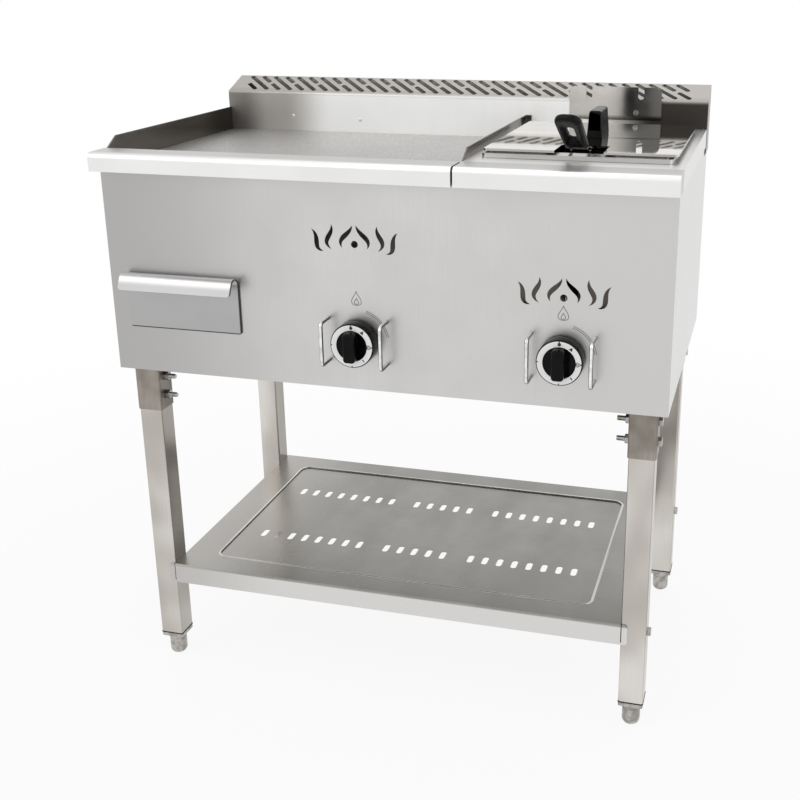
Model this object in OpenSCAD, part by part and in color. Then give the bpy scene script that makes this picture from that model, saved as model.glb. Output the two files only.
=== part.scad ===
// Griddle and fryer station on a bolted stand, with a gas griddle, a gas fryer and a grease drawer.
// Millimetres, +Z up, front towards -Y, +X to the right of somebody who stands in front.
// The origin lies on the floor under the middle of the bounding box.

/* [Cabinet] */
// Width of the cabinet over its side panels
cabinet_w = 850; // [800:10:1000]
// Depth of the cabinet from its front face to its rear face
cabinet_d = 492; // [480:2:560]
// Height of the front panel from the underside of the cabinet to the front rail
panel_h = 311.5; // [300:0.5:360]
// Thickness of the cabinet sheet
sheet_t = 1.5; // [1:0.1:2]
// Width of the folded base flange that the leg sockets are welded under
base_flange_w = 60; // [55:1:80]
// Width of the narrow folded edges of the panels
fold_w = 14; // [10:1:20]
// Width of the fryer side, from the split in the front rail to the right side panel
fryer_w = 300; // [290:2:320]

/* [Stand] */
// Height of the underside of the cabinet above the floor
stand_h = 526; // [480:2:620]
// Width of the square leg tube
leg_w = 38; // [30:1:45]
// Wall of the leg tube
leg_wall = 1.5; // [1:0.1:2.5]
// Radius of the leg tube's outer corners
leg_corner_r = 3; // [2:0.5:5]
// Distance of the legs from the side of the cabinet
leg_inset_x = 16.5; // [14:0.5:24]
// Distance of the legs from the front and rear faces of the cabinet
leg_inset_y = 15.5; // [12:0.5:30]
// Length of the leg socket below the cabinet
socket_h = 73; // [60:1:90]
// Wall of the leg socket
socket_wall = 1.6; // [1:0.1:2.5]
// Thread diameter of the stand's bolts
bolt_d = 8; // [6:1:8]
// Length of the bolts through the leg sockets
leg_bolt_l = 60; // [54:1:64]
// Length of the bolts through the legs into the shelf
shelf_bolt_l = 50; // [48:1:54]
// Distance of the upper leg bolt below the cabinet
leg_bolt_drop = 20.5; // [16:0.5:24]
// Distance between the two bolts of one leg
leg_bolt_pitch = 31; // [24:1:34]

/* [Feet] */
// Diameter of the adjustable foot
foot_d = 28; // [22:1:34]
// Height of the foot from the floor to its cap when screwed in
foot_h = 38.5; // [34:0.5:46]
// Radius of the rounding under the foot
foot_r = 10; // [5:0.5:10]
// Height of the visible collar of the foot cap
cap_h = 6; // [4:0.5:10]
// Thickness of the black gasket between the cap and the leg
gasket_t = 1.8; // [1:0.1:3]
// Diameter of the foot's threaded stem
stem_d = 10; // [8:1:12]

/* [Shelf] */
// Height of the top face of the shelf above the floor
shelf_z = 181.5; // [150:0.5:260]
// Height of the shelf's front and rear flanges
shelf_flange_h = 34.5; // [30:0.5:45]
// Width of the tab that laps over the leg at each end of a flange
shelf_tab_w = 10; // [6:1:14]
// Width of the relief slit between the tab and the flange
shelf_slit_w = 1.4; // [1:0.2:3]
// Distance between two drain slots in a row
shelf_slot_pitch = 25; // [22:1:26]
// Width of one drain slot
shelf_slot_w = 10; // [6:0.5:12]
// Length of one drain slot
shelf_slot_l = 26; // [18:1:32]
// Distance from the shelf's side to its pressed field
field_inset_x = 53; // [45:1:60]
// Distance from the shelf's front to its pressed field
field_inset_y = 43; // [38:1:60]
// Depth of the pressed field
field_depth = 2; // [1:0.5:3]

/* [Griddle] */
// Thickness of the griddle plate
plate_t = 8; // [6:0.5:12]
// Distance from the top of the front rail down to the griddle plate
plate_drop = 23.5; // [15:0.5:24]
// Height of the splash plates above the front rail
splash_rise = 15.5; // [10:0.5:40]
// Thickness of the splash plates
splash_t = 3; // [2:0.5:4]
// Height of the front rail
rail_h = 27.5; // [22:0.5:40]
// How far the front rail stands out from the front panel
rail_out = 27; // [18:1:40]
// Depth of the rail's flat top behind the front panel's face
rail_in = 22; // [18:1:24]
// Rounding of the rail's upper front edge
rail_r = 8; // [4:0.5:10]
// How far the rail's ends stand out past the cabinet
rail_over = 2; // [1.5:0.5:6]
// Width of the split between the griddle rail and the fryer deck
rail_split = 3; // [1:0.5:4]
// Width of the grease trough behind the rail
trough_w = 42; // [38:1:50]
// Depth of the grease trough's floor below the griddle plate's underside
trough_depth = 17.5; // [14:0.5:24]
// Width of the plate that overhangs the trough
plate_lip = 14; // [8:1:20]
// Width of the legs of the angles that carry the griddle plate
support_w = 25; // [20:1:30]
// Thickness of those angles
support_t = 3; // [2.5:0.5:4]
// Diameter of the chute from the trough to the drawer
chute_d = 38; // [30:1:42]

/* [Backsplash] */
// Depth of the backsplash from its front face to its rear face
flue_d = 58; // [50:1:70]
// Height of the backsplash's front edge above the fryer deck
flue_front_h = 43.5; // [40:0.5:80]
// Rise of the slotted top from its front edge to its rear edge
flue_rise = 22.5; // [15:0.5:40]
// Number of diagonal slot lines in the slotted top
flue_slot_count = 36; // [36:2:36]
// Distance between two slot lines
flue_slot_pitch = 22.75; // [20:0.05:23]
// Width of one slot
flue_slot_w = 8; // [4:0.5:9]
// Outer radius of the bend along the backsplash's front edge
flue_bend_r = 4; // [3:0.5:6]
// Width of the basket hanger
hanger_w = 153; // [140:1:180]
// Height of the hanger's tabs above the backsplash's front edge
hanger_tab_h = 22; // [16:1:30]
// Distance between the hanger's two notches
hanger_notch_gap = 86; // [70:1:100]
// Width of a hanger notch
hanger_notch_w = 10; // [7:0.5:12]

/* [Fryer] */
// Width of the oil tank inside the deck opening
tank_w = 240; // [220:2:250]
// Depth of the oil tank from front to rear
tank_d = 272; // [250:2:280]
// Height of the oil tank below its rim
tank_h = 144; // [120:1:160]
// Distance of the tank's front rim from the front panel's face
tank_y = 63; // [56:1:66]
// Width of the tank's rim at the front and rear
tank_rim_y = 27; // [24:1:30]
// Width of the tank's rim at the left and right
tank_rim_x = 13; // [11:1:14]
// Height of the tank's folded rim above the deck
tank_rim_h = 6.2; // [5:0.1:9]
// Distance from the lid's front edge to the rim's front edge
lid_set_back = 10; // [6:1:12]
// Depth of the lid's folded edge
lid_edge_h = 3.3; // [2.5:0.1:6]
// Distance of the lid to the right of the tank's middle, within its play on the rim
lid_shift = 3; // [0:0.5:4]
// Width of the notch for the basket handle
notch_w = 69; // [60:1:80]
// Depth of the notch for the basket handle
notch_d = 58; // [52:1:70]
// Width of the basket
basket_w = 208; // [180:2:214]
// Length of the basket
basket_d = 232; // [200:2:240]
// Height of the basket without its feet
basket_h = 122; // [100:1:124]
// Diameter of the basket's frame wires
wire_d = 5; // [4:0.5:6]
// Distance between the two wires of the basket handle
handle_wire_gap = 27; // [22:1:30]
// Length of the basket's grip
grip_l = 80; // [76:1:110]
// Width of the grip at its free end
grip_w = 38; // [34:1:44]
// Thickness of the grip
grip_t = 10; // [9:0.5:14]
// Length of the finger hole in the grip
grip_hole_l = 29; // [24:1:44]
// Width of the finger hole in the grip
grip_hole_w = 10.5; // [8:0.5:15]
// Angle of the grip above the horizontal
grip_angle = 38; // [25:1:45]
// Angle by which the grip points to the left
grip_yaw = 5; // [0:1:10]
// Width of the lid handle at its foot
lid_handle_w = 24; // [20:0.5:28]
// How far each side of the lid handle leans in
lid_handle_draft = 3; // [1:0.5:4]
// Length of the lid handle
lid_handle_l = 66; // [50:1:90]
// Height of the lid handle
lid_handle_h = 40; // [30:1:50]

/* [Controls] */
// Place of the griddle knob to the right of the station's centre
griddle_knob_x = -28; // [-100:1:20]
// Height of the knobs above the cabinet's underside
knob_rise = 75; // [70:1:95]
// Radius of the knob's skirt
knob_r = 33; // [28:0.5:35]
// Depth of the knob's skirt
knob_depth = 20; // [16:1:24]
// Gap between a released knob and the front panel
knob_gap = 6; // [5:0.5:8]
// Height of the knob's bar above its dial
knob_bar_h = 15; // [10:1:20]
// Width of the knob's bar
knob_bar_w = 18; // [14:1:22]
// Travel of a pushed knob
push_travel = 4; // [3:0.5:4]
// Diameter of the valve spindles
spindle_d = 8; // [6:0.5:9]
// Running clearance of the spindles, all round
spindle_fit = 0.05; // [0.02:0.01:0.1]
// Half distance between the two guards of a knob
guard_half = 45; // [42:0.5:50]
// Height of a knob guard over its rod
guard_h = 70; // [60:1:80]
// How far a knob guard stands out from the front panel
guard_out = 33; // [28:1:45]
// Diameter of the guard rod
guard_d = 6; // [5:0.5:7]

/* [Sight holes] */
// Height of the griddle's sight holes above its knob
griddle_sight_rise = 144; // [110:1:170]
// Height of the fryer's sight holes above its knob
fryer_sight_rise = 86; // [80:1:110]
// Half width of one flame-shaped hole
flame_half_w = 3.6; // [2:0.1:4]
// Radius of the round hole between the flames
flame_dot_r = 5.2; // [3:0.2:6]

/* [Grease drawer] */
// Width of the drawer front
drawer_w = 184; // [150:2:200]
// Height of the drawer front
drawer_h = 88; // [80:1:100]
// Length of the drawer tray behind the front
drawer_l = 300; // [220:5:340]
// Height of the drawer tray's walls
drawer_tray_h = 58; // [40:1:60]
// Distance of the drawer front's left edge from the cabinet's left side
drawer_from_left = 29; // [24:1:60]
// Height of the drawer front's lower edge above the cabinet's underside
drawer_rise = 71; // [60:1:90]
// Distance of the drawer front out from the front panel
drawer_out = 1.5; // [1:0.1:3]
// Outer radius of the curl of the drawer handle
curl_r = 12.5; // [8:0.5:14]
// Length of the flat lip of the drawer handle
lip_l = 18; // [12:1:26]
// Angle that the lip of the drawer handle is bent through
lip_turn = 152; // [130:1:165]
// Radius of the lip's lower corners
lip_corner_r = 6; // [3:0.5:8]

/* [Gas parts] */
// Outer diameter of the gas manifold
manifold_d = 21.3; // [17:0.1:27]
// Outer diameter of the pipes to the burners
feed_d = 10; // [8:0.5:12]
// Diameter of the griddle burner's tubes
griddle_burner_d = 28; // [22:1:34]
// Diameter of the fryer burner's tubes
fryer_burner_d = 28; // [22:1:32]
// Height of the griddle burner above its knob
griddle_burner_rise = 149; // [120:1:160]
// Height of the fryer burner above its knob
fryer_burner_rise = 84; // [70:1:90]
// Distance of the gas inlet from the cabinet's right side
inlet_from_right = 80; // [60:5:200]
// Outer diameter of the inlet's pipe thread
inlet_d = 20.95; // [16:0.05:27]
// Length of the inlet's thread behind the station
inlet_l = 16; // [12:1:20]

/* [Hidden] */
$fn = 64;

// Clearances and small overlaps
seat_gap = 0.3;
hole_gap = 0.2;
slide_gap = 1;
cut = 1;
bend_swell = 0.3;

// Levels above the floor
z_cab = stand_h;
z_panel_top = z_cab + panel_h;
z_deck = z_panel_top + rail_h;
z_plate = z_deck - plate_drop;
z_plate_under = z_plate - plate_t;
z_splash = z_deck + splash_rise;
z_flue_front = z_deck + flue_front_h;
z_flue_rear = z_flue_front + flue_rise;
z_knob = z_cab + knob_rise;

// Places along X, from the station's centre line
x_right = cabinet_w / 2;
x_left = -x_right;
x_split = x_right - fryer_w;
x_fryer = (x_split + x_right) / 2;
x_leg = x_right - leg_inset_x - leg_w / 2;

// Places along Y, from the front panel's face
y_leg_front = leg_inset_y + leg_w / 2;
y_leg_rear = cabinet_d - y_leg_front;
y_flue_rear = cabinet_d + 2;
y_flue_front = y_flue_rear - flue_d;
knob_front = knob_gap + knob_depth + knob_bar_h;
y_inlet_end = y_flue_rear + inlet_l + 2;
y_mid = (y_inlet_end - knob_front) / 2;

// Sizes that follow from the driving ones
flue_slope = atan2(flue_rise, flue_d);
flue_top_l = norm([flue_d, flue_rise]);
bolt_hole_r = bolt_d / 2 + hole_gap;
nut_h = bolt_d * 0.8;
hex_r = bolt_d * 0.94;
head_h = bolt_d * 0.66;
shelf_half = x_leg - leg_w / 2 - 0.1;
shelf_front = y_leg_front - leg_w / 2 - sheet_t;
shelf_rear = y_leg_rear + leg_w / 2 + sheet_t;
z_shelf_bolt = shelf_z - shelf_flange_h / 2;
z_foot_cap = foot_h + seat_gap;
z_gasket = z_foot_cap + cap_h;
z_leg = z_gasket + gasket_t;
socket_w = leg_w + 2 * hole_gap + 2 * socket_wall;

// Moves a piece from the front panel's face to the common origin.
module station() {
    translate([0, -y_mid, 0]) children();
}

// Box between two corners.
module span(a, b) {
    translate(a) cube(b - a);
}

// Square with rounded corners, centred.
module round_square(w, r) {
    square([w - 2 * r, w], center = true);
    square([w, w - 2 * r], center = true);
    for (sx = [-1, 1], sy = [-1, 1])
        translate([sx * (w / 2 - r), sy * (w / 2 - r)]) circle(r);
}

// Rectangle with rounded corners from the corner a to the corner b.
module round_rect(a, b, r) {
    translate([a.x + r, a.y]) square([b.x - a.x - 2 * r, b.y - a.y]);
    translate([a.x, a.y + r]) square([b.x - a.x, b.y - a.y - 2 * r]);
    for (x = [a.x + r, b.x - r], y = [a.y + r, b.y - r])
        translate([x, y]) circle(r);
}

// Round rod between two points.
module rod(p, q, d) {
    v = q - p;
    turn = atan2(v.y, v.x);
    tilt = atan2(norm([v.x, v.y]), v.z);
    translate(p) rotate([0, tilt, turn]) cylinder(h = norm(v), d = d);
}

// Rod that follows a list of points, with a ball in each bend that is a trace thicker.
module bent_rod(points, d) {
    for (i = [0 : len(points) - 2])
        rod(points[i], points[i + 1], d);
    for (i = [1 : len(points) - 2])
        translate(points[i]) sphere(d = d + bend_swell);
}

// Drill through a sheet that stands square to Y.
module drill_y(x, y0, y1, z, r) {
    translate([x, y0, z]) rotate([-90, 0, 0]) cylinder(h = y1 - y0, r = r);
}

// Drill along X.
module drill_x(x0, x1, y, z, r) {
    translate([x0, y, z]) rotate([0, 90, 0]) cylinder(h = x1 - x0, r = r);
}

// Outline in the Y and Z directions, drawn out along X from x0 to x1.
module along_x(x0, x1) {
    translate([x0, 0, 0]) rotate([90, 0, 90]) linear_extrude(x1 - x0) children();
}

// Outline in the X and Z directions, drawn out along Y from y0 to y1.
module along_y(y0, y1) {
    translate([0, y1, 0]) rotate([90, 0, 0]) linear_extrude(y1 - y0) children();
}

// Place of each leg: side is -1 on the left and 1 on the right, row is 0 in front and 1 behind.
function leg_place(side, row) = [side * x_leg, row == 0 ? y_leg_front : y_leg_rear, 0];

// Heights of the two bolts through one leg socket.
function leg_bolt_z() = [z_cab - leg_bolt_drop, z_cab - leg_bolt_drop - leg_bolt_pitch];

// Square leg tube, cut to the socket, with its bolt holes.
module leg(side, row) {
    color([0.78, 0.76, 0.74]) station() translate(leg_place(side, row))
        difference() {
            translate([0, 0, z_leg]) linear_extrude(z_cab - z_leg) difference() {
                round_square(leg_w, leg_corner_r);
                round_square(leg_w - 2 * leg_wall, max(leg_corner_r - leg_wall, 0.5));
            }
            for (z = concat(leg_bolt_z(), [z_shelf_bolt]))
                drill_x(-leg_w, leg_w, 0, z, bolt_hole_r);
        }
}

// Welded sleeve under the cabinet that the leg slides into.
module leg_socket(side, row) {
    color([0.55, 0.53, 0.50]) station() translate(leg_place(side, row))
        difference() {
            translate([0, 0, z_cab - socket_h]) linear_extrude(socket_h) difference() {
                round_square(socket_w, leg_corner_r + socket_wall);
                round_square(leg_w + 2 * hole_gap, leg_corner_r);
            }
            for (z = leg_bolt_z())
                drill_x(-socket_w, socket_w, 0, z, bolt_hole_r);
        }
}

// Adjustable foot: a round shoe with a threaded stem that runs up into the cap.
module levelling_foot(side, row) {
    color([0.72, 0.70, 0.68]) station() translate(leg_place(side, row)) {
        rotate_extrude() intersection() {
            square([foot_d, foot_h]);
            union() {
                square([foot_d / 2 - foot_r, foot_h]);
                translate([0, foot_r]) square([foot_d / 2, foot_h - foot_r]);
                translate([foot_d / 2 - foot_r, foot_r]) circle(foot_r);
            }
        }
        cylinder(h = z_leg + stem_d * 2, d = stem_d);
    }
}

// Cap under each leg: a collar as wide as the tube and a plug inside it, drilled for the stem.
module foot_caps() {
    plug_w = leg_w - 2 * leg_wall - 2 * hole_gap;
    color([0.66, 0.64, 0.62]) station()
        for (side = [-1, 1], row = [0, 1]) translate(leg_place(side, row)) difference() {
            union() {
                translate([0, 0, z_foot_cap]) linear_extrude(cap_h)
                    round_square(leg_w, leg_corner_r);
                translate([0, 0, z_foot_cap]) linear_extrude(cap_h + gasket_t + stem_d)
                    round_square(plug_w, leg_corner_r / 2);
            }
            cylinder(h = z_leg + 3 * stem_d, r = stem_d / 2 + spindle_fit);
        }
}

// Black gasket ring between each cap and its leg.
module leg_gaskets() {
    plug_w = leg_w - 2 * leg_wall - 2 * hole_gap;
    color([0.06, 0.06, 0.06]) station()
        for (side = [-1, 1], row = [0, 1]) translate(leg_place(side, row))
            translate([0, 0, z_gasket]) linear_extrude(gasket_t) difference() {
                round_square(leg_w + 1, leg_corner_r);
                round_square(plug_w, leg_corner_r / 2);
            }
}

// One hexagon bolt along X, its head at x0, its shank towards the centre of the station.
module hex_bolt(side, x0, y, z, l) {
    translate([side * x0, y, z]) rotate([0, -side * 90, 0]) {
        cylinder(h = l, d = bolt_d);
        translate([0, 0, -head_h]) cylinder(h = head_h, r = hex_r, $fn = 6);
    }
}

// Bolts through the leg sockets, two to a leg, with their heads outside.
module leg_bolts() {
    color([0.75, 0.75, 0.74]) station()
        for (side = [-1, 1], row = [0, 1], z = leg_bolt_z())
            hex_bolt(side, x_leg + socket_w / 2, leg_place(side, row).y, z, leg_bolt_l);
}

// Bolts through the legs into the shelf's side flanges.
module shelf_bolts() {
    color([0.75, 0.75, 0.74]) station()
        for (side = [-1, 1], row = [0, 1])
            hex_bolt(side, x_leg + leg_w / 2, leg_place(side, row).y, z_shelf_bolt, shelf_bolt_l);
}

// Hexagon nuts on all the bolts of the stand.
module stand_nuts() {
    x_leg_nut = x_leg - socket_w / 2 - nut_h;
    x_shelf_nut = shelf_half - sheet_t - nut_h;
    color([0.70, 0.70, 0.69]) station()
        for (side = [-1, 1], row = [0, 1]) {
            y = leg_place(side, row).y;
            for (z = leg_bolt_z())
                hex_nut(side, x_leg_nut, y, z);
            hex_nut(side, x_shelf_nut, y, z_shelf_bolt);
        }
}

// One hexagon nut whose inner face is at x0.
module hex_nut(side, x0, y, z) {
    translate([side * x0, y, z]) rotate([0, side * 90, 0]) difference() {
        cylinder(h = nut_h, r = hex_r, $fn = 6);
        translate([0, 0, -cut]) cylinder(h = nut_h + 2 * cut, d = bolt_d);
    }
}

// Rounded slot that runs along Y, cut through a flat sheet.
module slot_y(x, y, z0, z1, w, l) {
    for (dy = [-1, 1])
        translate([x, y + dy * (l - w) / 2, z0]) cylinder(h = z1 - z0, d = w);
    span([x - w / 2, y - (l - w) / 2, z0], [x + w / 2, y + (l - w) / 2, z1]);
}

// Places of the drain slots along X: a group of five between two groups of eight.
function shelf_slot_places() = concat(
    [for (i = [-2 : 2]) i * shelf_slot_pitch],
    [for (s = [-1, 1], i = [0 : 7]) s * (i + 3.95) * shelf_slot_pitch]);

// Lower shelf: a folded tray between the legs, with a pressed field and two rows of slots.
module shelf() {
    rows = [shelf_front + (shelf_rear - shelf_front) * 0.309,
        shelf_front + (shelf_rear - shelf_front) * 0.684];
    field_a = [-shelf_half + field_inset_x, shelf_front + field_inset_y];
    field_b = [shelf_half - field_inset_x, shelf_rear - field_inset_y];
    field_r = 18;
    slit_bridge = 4;
    z_flange = shelf_z - shelf_flange_h;
    color([0.60, 0.58, 0.56]) station() difference() {
        union() {
            span([-shelf_half, shelf_front, shelf_z - sheet_t], [shelf_half, shelf_rear, shelf_z]);
            translate([0, 0, shelf_z - sheet_t - field_depth]) linear_extrude(sheet_t + field_depth)
                round_rect(field_a - [sheet_t, sheet_t], field_b + [sheet_t, sheet_t], field_r);
            for (s = [-1, 1])
                span([s > 0 ? shelf_half - sheet_t : -shelf_half, shelf_front, z_flange],
                    [s > 0 ? shelf_half : -shelf_half + sheet_t, shelf_rear, shelf_z]);
            for (y = [shelf_front, shelf_rear - sheet_t])
                along_y(y, y + sheet_t)
                    round_rect([-shelf_half - shelf_tab_w, z_flange],
                        [shelf_half + shelf_tab_w, shelf_z], 5);
        }
        translate([0, 0, shelf_z - field_depth]) linear_extrude(field_depth + cut)
            round_rect(field_a, field_b, field_r);
        for (x = shelf_slot_places(), y = rows)
            slot_y(x, y, z_flange, shelf_z + cut, shelf_slot_w, shelf_slot_l);
        for (s = [0, 1]) mirror([s, 0, 0])
            span([shelf_half, shelf_front - cut, z_flange + slit_bridge],
                [shelf_half + shelf_slit_w, shelf_rear + cut, shelf_z + cut]);
        for (side = [-1, 1], row = [0, 1])
            drill_x(side * shelf_half - 2 * sheet_t, side * shelf_half + 2 * sheet_t,
                leg_place(side, row).y, z_shelf_bolt, bolt_hole_r);
    }
}

// Point and direction of a cubic curve with the control points p.
function curve_at(p, t) = pow(1 - t, 3) * p[0] + 3 * pow(1 - t, 2) * t * p[1]
    + 3 * (1 - t) * t * t * p[2] + pow(t, 3) * p[3];
function curve_dir(p, t) = 3 * pow(1 - t, 2) * (p[1] - p[0]) + 6 * (1 - t) * t * (p[2] - p[1])
    + 3 * t * t * (p[3] - p[2]);

// One side of a flame: the middle curve pushed out by a half width that swells and tapers.
function flame_side(p, side, steps) = [for (i = [0 : steps])
    let (t = i / steps, v = curve_dir(p, t), w = flame_half_w * pow(sin(180 * t), 0.8))
    curve_at(p, t) + side * w * [-v.y, v.x] / norm(v)];

// Flame-shaped outline around the curve p, pointed at both ends.
module flame(p) {
    steps = 10;
    right = flame_side(p, 1, steps);
    left = flame_side(p, -1, steps);
    polygon(concat(right, [for (i = [steps - 1 : -1 : 1]) left[i]]));
}

// Six flames and a round hole that show the burner's fire, the left three mirrored.
module sight_holes(x, z) {
    inner = [[2.6, 28], [6, 12], [28, 10], [19, -6]];
    middle = [[34.5, 28], [29, 12], [54, 5], [35, -9]];
    outer = [[65, 20], [50, 8], [66, -10], [47, -12]];
    translate([x, z]) {
        circle(flame_dot_r);
        for (side = [0, 1], p = [inner, middle, outer])
            mirror([side, 0]) flame(p);
    }
}

// Drawer places
x_drawer = x_left + drawer_from_left;
z_drawer = z_cab + drawer_rise;
x_drawer_mid = x_drawer + drawer_w / 2;
tray_half = drawer_w / 2 - 6;
z_tray = z_drawer + 3;

// Front panel: one sheet with folded edges, sight holes and the drawer's opening.
module front_panel() {
    z_knobs = z_knob;
    color([0.77, 0.77, 0.76]) station() difference() {
        union() {
            along_y(0, sheet_t) difference() {
                translate([x_left, z_cab]) square([cabinet_w, panel_h]);
                sight_holes(griddle_knob_x, z_knobs + griddle_sight_rise);
                sight_holes(x_fryer, z_knobs + fryer_sight_rise);
                translate([x_drawer_mid - tray_half - slide_gap, z_tray - slide_gap])
                    square([2 * (tray_half + slide_gap), drawer_tray_h + 2 * slide_gap]);
            }
            span([x_left + base_flange_w, sheet_t, z_cab],
                [x_right - base_flange_w, base_flange_w / 2, z_cab + sheet_t]);
            span([x_left + sheet_t, sheet_t, z_panel_top - sheet_t],
                [x_right - sheet_t, fold_w, z_panel_top]);
        }
        for (x = [griddle_knob_x, x_fryer]) {
            drill_y(x, -cut, sheet_t + cut, z_knobs, spindle_d);
            for (side = [-1, 1], end = [-1, 1])
                drill_y(x + side * guard_half, -cut, sheet_t + cut,
                    z_knobs + end * (guard_h - guard_d) / 2, guard_d / 2 + hole_gap);
        }
    }
}

// Side panel: a tall sheet with a wide base flange and a narrow top flange.
module side_panel(side, z_top) {
    x_out = x_right;
    x_in = x_right - sheet_t;
    color([0.86, 0.86, 0.86]) station() mirror([side < 0 ? 1 : 0, 0, 0]) {
        span([x_in, sheet_t, z_cab], [x_out, rail_in + cut, min(z_top, z_panel_top)]);
        span([x_in, rail_in, z_cab], [x_out, y_flue_front, z_top]);
        span([x_in, y_flue_front - cut, z_cab], [x_out, cabinet_d, z_cap - 4]);
        span([x_right - base_flange_w, sheet_t, z_cab], [x_in, cabinet_d - sheet_t, z_cab + sheet_t]);
        span([x_in - fold_w, rail_in + trough_w + sheet_t, z_top - sheet_t],
            [x_in, y_flue_front - sheet_t, z_top]);
    }
}

// Lower edge of the backsplash's end caps.
z_cap = z_panel_top - 12.5;

// Rear panel with a folded base edge and a hole for the gas inlet.
module rear_panel() {
    color([0.74, 0.74, 0.73]) station() difference() {
        union() {
            span([x_left + sheet_t, cabinet_d - sheet_t, z_cab],
                [x_right - sheet_t, cabinet_d, z_deck]);
            span([x_left + base_flange_w, cabinet_d - base_flange_w / 2, z_cab],
                [x_right - base_flange_w, cabinet_d - sheet_t, z_cab + sheet_t]);
        }
        drill_y(x_inlet, cabinet_d - base_flange_w, cabinet_d + cut, z_knob,
            manifold_d / 2 + slide_gap);
        for (p = rear_screw_places())
            drill_y(p.x, cabinet_d - 4, cabinet_d + cut, p.y, screw_d / 2 + hole_gap);
    }
}

// Screws that hold the backsplash and the rear panel together.
screw_d = 5;
function rear_screw_places() = [for (i = [-3 : 3])
    [i * (x_right - 25) / 3, z_cap + (z_deck - z_cap) / 2]];

// Pan-head screw whose shank points along -Y from the face at y.
module pan_screw(x, y, z, l, side) {
    translate([x, y, z]) rotate([side * 90, 0, 0]) {
        cylinder(h = l, d = screw_d);
        translate([0, 0, -screw_d * 0.5]) cylinder(h = screw_d * 0.5, d = screw_d * 1.8);
    }
}

module rear_panel_screws() {
    color([0.72, 0.72, 0.71]) station()
        for (p = rear_screw_places())
            pan_screw(p.x, y_flue_rear, p.y, 10, 1);
}

// Sheet wall between the griddle burner and the fryer burner.
module partition() {
    x0 = x_split - splash_t;
    color([0.68, 0.68, 0.67]) station() {
        span([x0, sheet_t, z_knob + 40], [x0 + sheet_t, cabinet_d - sheet_t, z_plate_under - sheet_t]);
        span([x0 - fold_w, y_trough_rear + cut, z_plate_under - sheet_t],
            [x0 + splash_t, y_flue_front - cut, z_plate_under]);
    }
}

// Places of the grease trough
y_trough = rail_in - sheet_t;
y_trough_rear = rail_in + trough_w + sheet_t;
z_trough = z_plate_under - trough_depth;

// Thick steel cooking plate; its front edge overhangs the trough.
module griddle_plate() {
    color([0.63, 0.63, 0.61]) station()
        span([x_left + splash_t, y_trough_rear - sheet_t - plate_lip, z_plate_under],
            [x_split - splash_t - hole_gap, y_flue_front - hole_gap, z_plate]);
}

// Two angle rails that carry the griddle plate at the front and the rear.
module plate_support_rails() {
    x0 = x_left + sheet_t;
    x1 = x_split - splash_t;
    color([0.55, 0.55, 0.54]) station()
        for (y = [y_trough_rear + fold_w, y_flue_front - fold_w - support_w]) {
            span([x0 + fold_w, y, z_plate_under - support_t], [x1 - fold_w, y + support_w, z_plate_under]);
            span([x0, y, z_plate_under - support_w], [x1, y + support_t, z_plate_under - sheet_t]);
        }
}

// Outline of a splash plate in Y and Z: its front end leans back.
module splash_outline(y_front) {
    lean = 26;
    polygon([[y_front, z_deck], [y_front + lean, z_splash], [y_flue_front - hole_gap, z_splash],
        [y_flue_front - hole_gap, z_plate_under], [y_trough_rear, z_plate_under],
        [y_trough_rear, z_panel_top + sheet_t], [y_front, z_panel_top + sheet_t]]);
}

module left_splash_plate() {
    color([0.30, 0.30, 0.28]) station()
        along_x(x_left, x_left + splash_t - hole_gap) splash_outline(rail_in + hole_gap);
}

// Splash plate between the griddle and the fryer deck, with a folded rear end.
module centre_splash_plate() {
    fold_l = 9;
    color([0.30, 0.30, 0.28]) station() {
        along_x(x_split - splash_t, x_split - hole_gap) splash_outline(rail_in + 10);
        span([x_split - splash_t, y_flue_front - splash_t, z_deck + hole_gap],
            [x_split + fold_l, y_flue_front - hole_gap, z_splash]);
    }
}

// Closed outline of the front rail's nose in Y and Z, grown inward by inset.
module nose_outline(inset) {
    r = rail_r - inset;
    y0 = -rail_out + inset;
    y1 = rail_in - inset;
    z0 = z_panel_top + inset;
    z1 = z_deck - inset;
    translate([y0, z0]) square([y1 - y0, z1 - z0 - r]);
    translate([y0 + r, z0]) square([y1 - y0 - r, z1 - z0]);
    translate([y0 + r, z1 - r]) circle(r);
}

// Hollow nose of the front rail between x0 and x1, with an end plate at the outer end.
module nose(x0, x1, x_cap) {
    along_x(x0, x1) difference() {
        nose_outline(0);
        nose_outline(sheet_t);
        translate([fold_w, z_panel_top - cut]) square([rail_in - sheet_t - fold_w, sheet_t + cut]);
    }
    along_x(x_cap, x_cap + sheet_t) nose_outline(0);
}

// Griddle part of the front rail, with the grease trough folded on behind it.
module griddle_front_rail() {
    x0 = x_left - rail_over;
    x1 = x_split - rail_split;
    x_trough = x_left + splash_t + cut;
    x_trough_end = x_split - splash_t - cut;
    color([0.91, 0.91, 0.91]) station() {
        nose(x0, x1, x0);
        along_x(x1 - sheet_t, x1) nose_outline(0);
        difference() {
            span([x_trough, y_trough, z_trough - sheet_t],
                [x_trough_end, y_trough_rear, z_plate_under - hole_gap]);
            span([x_trough + sheet_t, y_trough + sheet_t, z_trough],
                [x_trough_end - sheet_t, y_trough_rear - sheet_t, z_plate]);
            translate([x_drawer_mid, (y_trough + y_trough_rear) / 2, z_trough - 2 * sheet_t])
                cylinder(h = 4 * sheet_t, d = chute_d - 2 * sheet_t);
        }
        span([x_trough, y_trough, z_plate_under - sheet_t],
            [x_trough_end, y_trough + sheet_t, z_panel_top + sheet_t]);
    }
}

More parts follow.
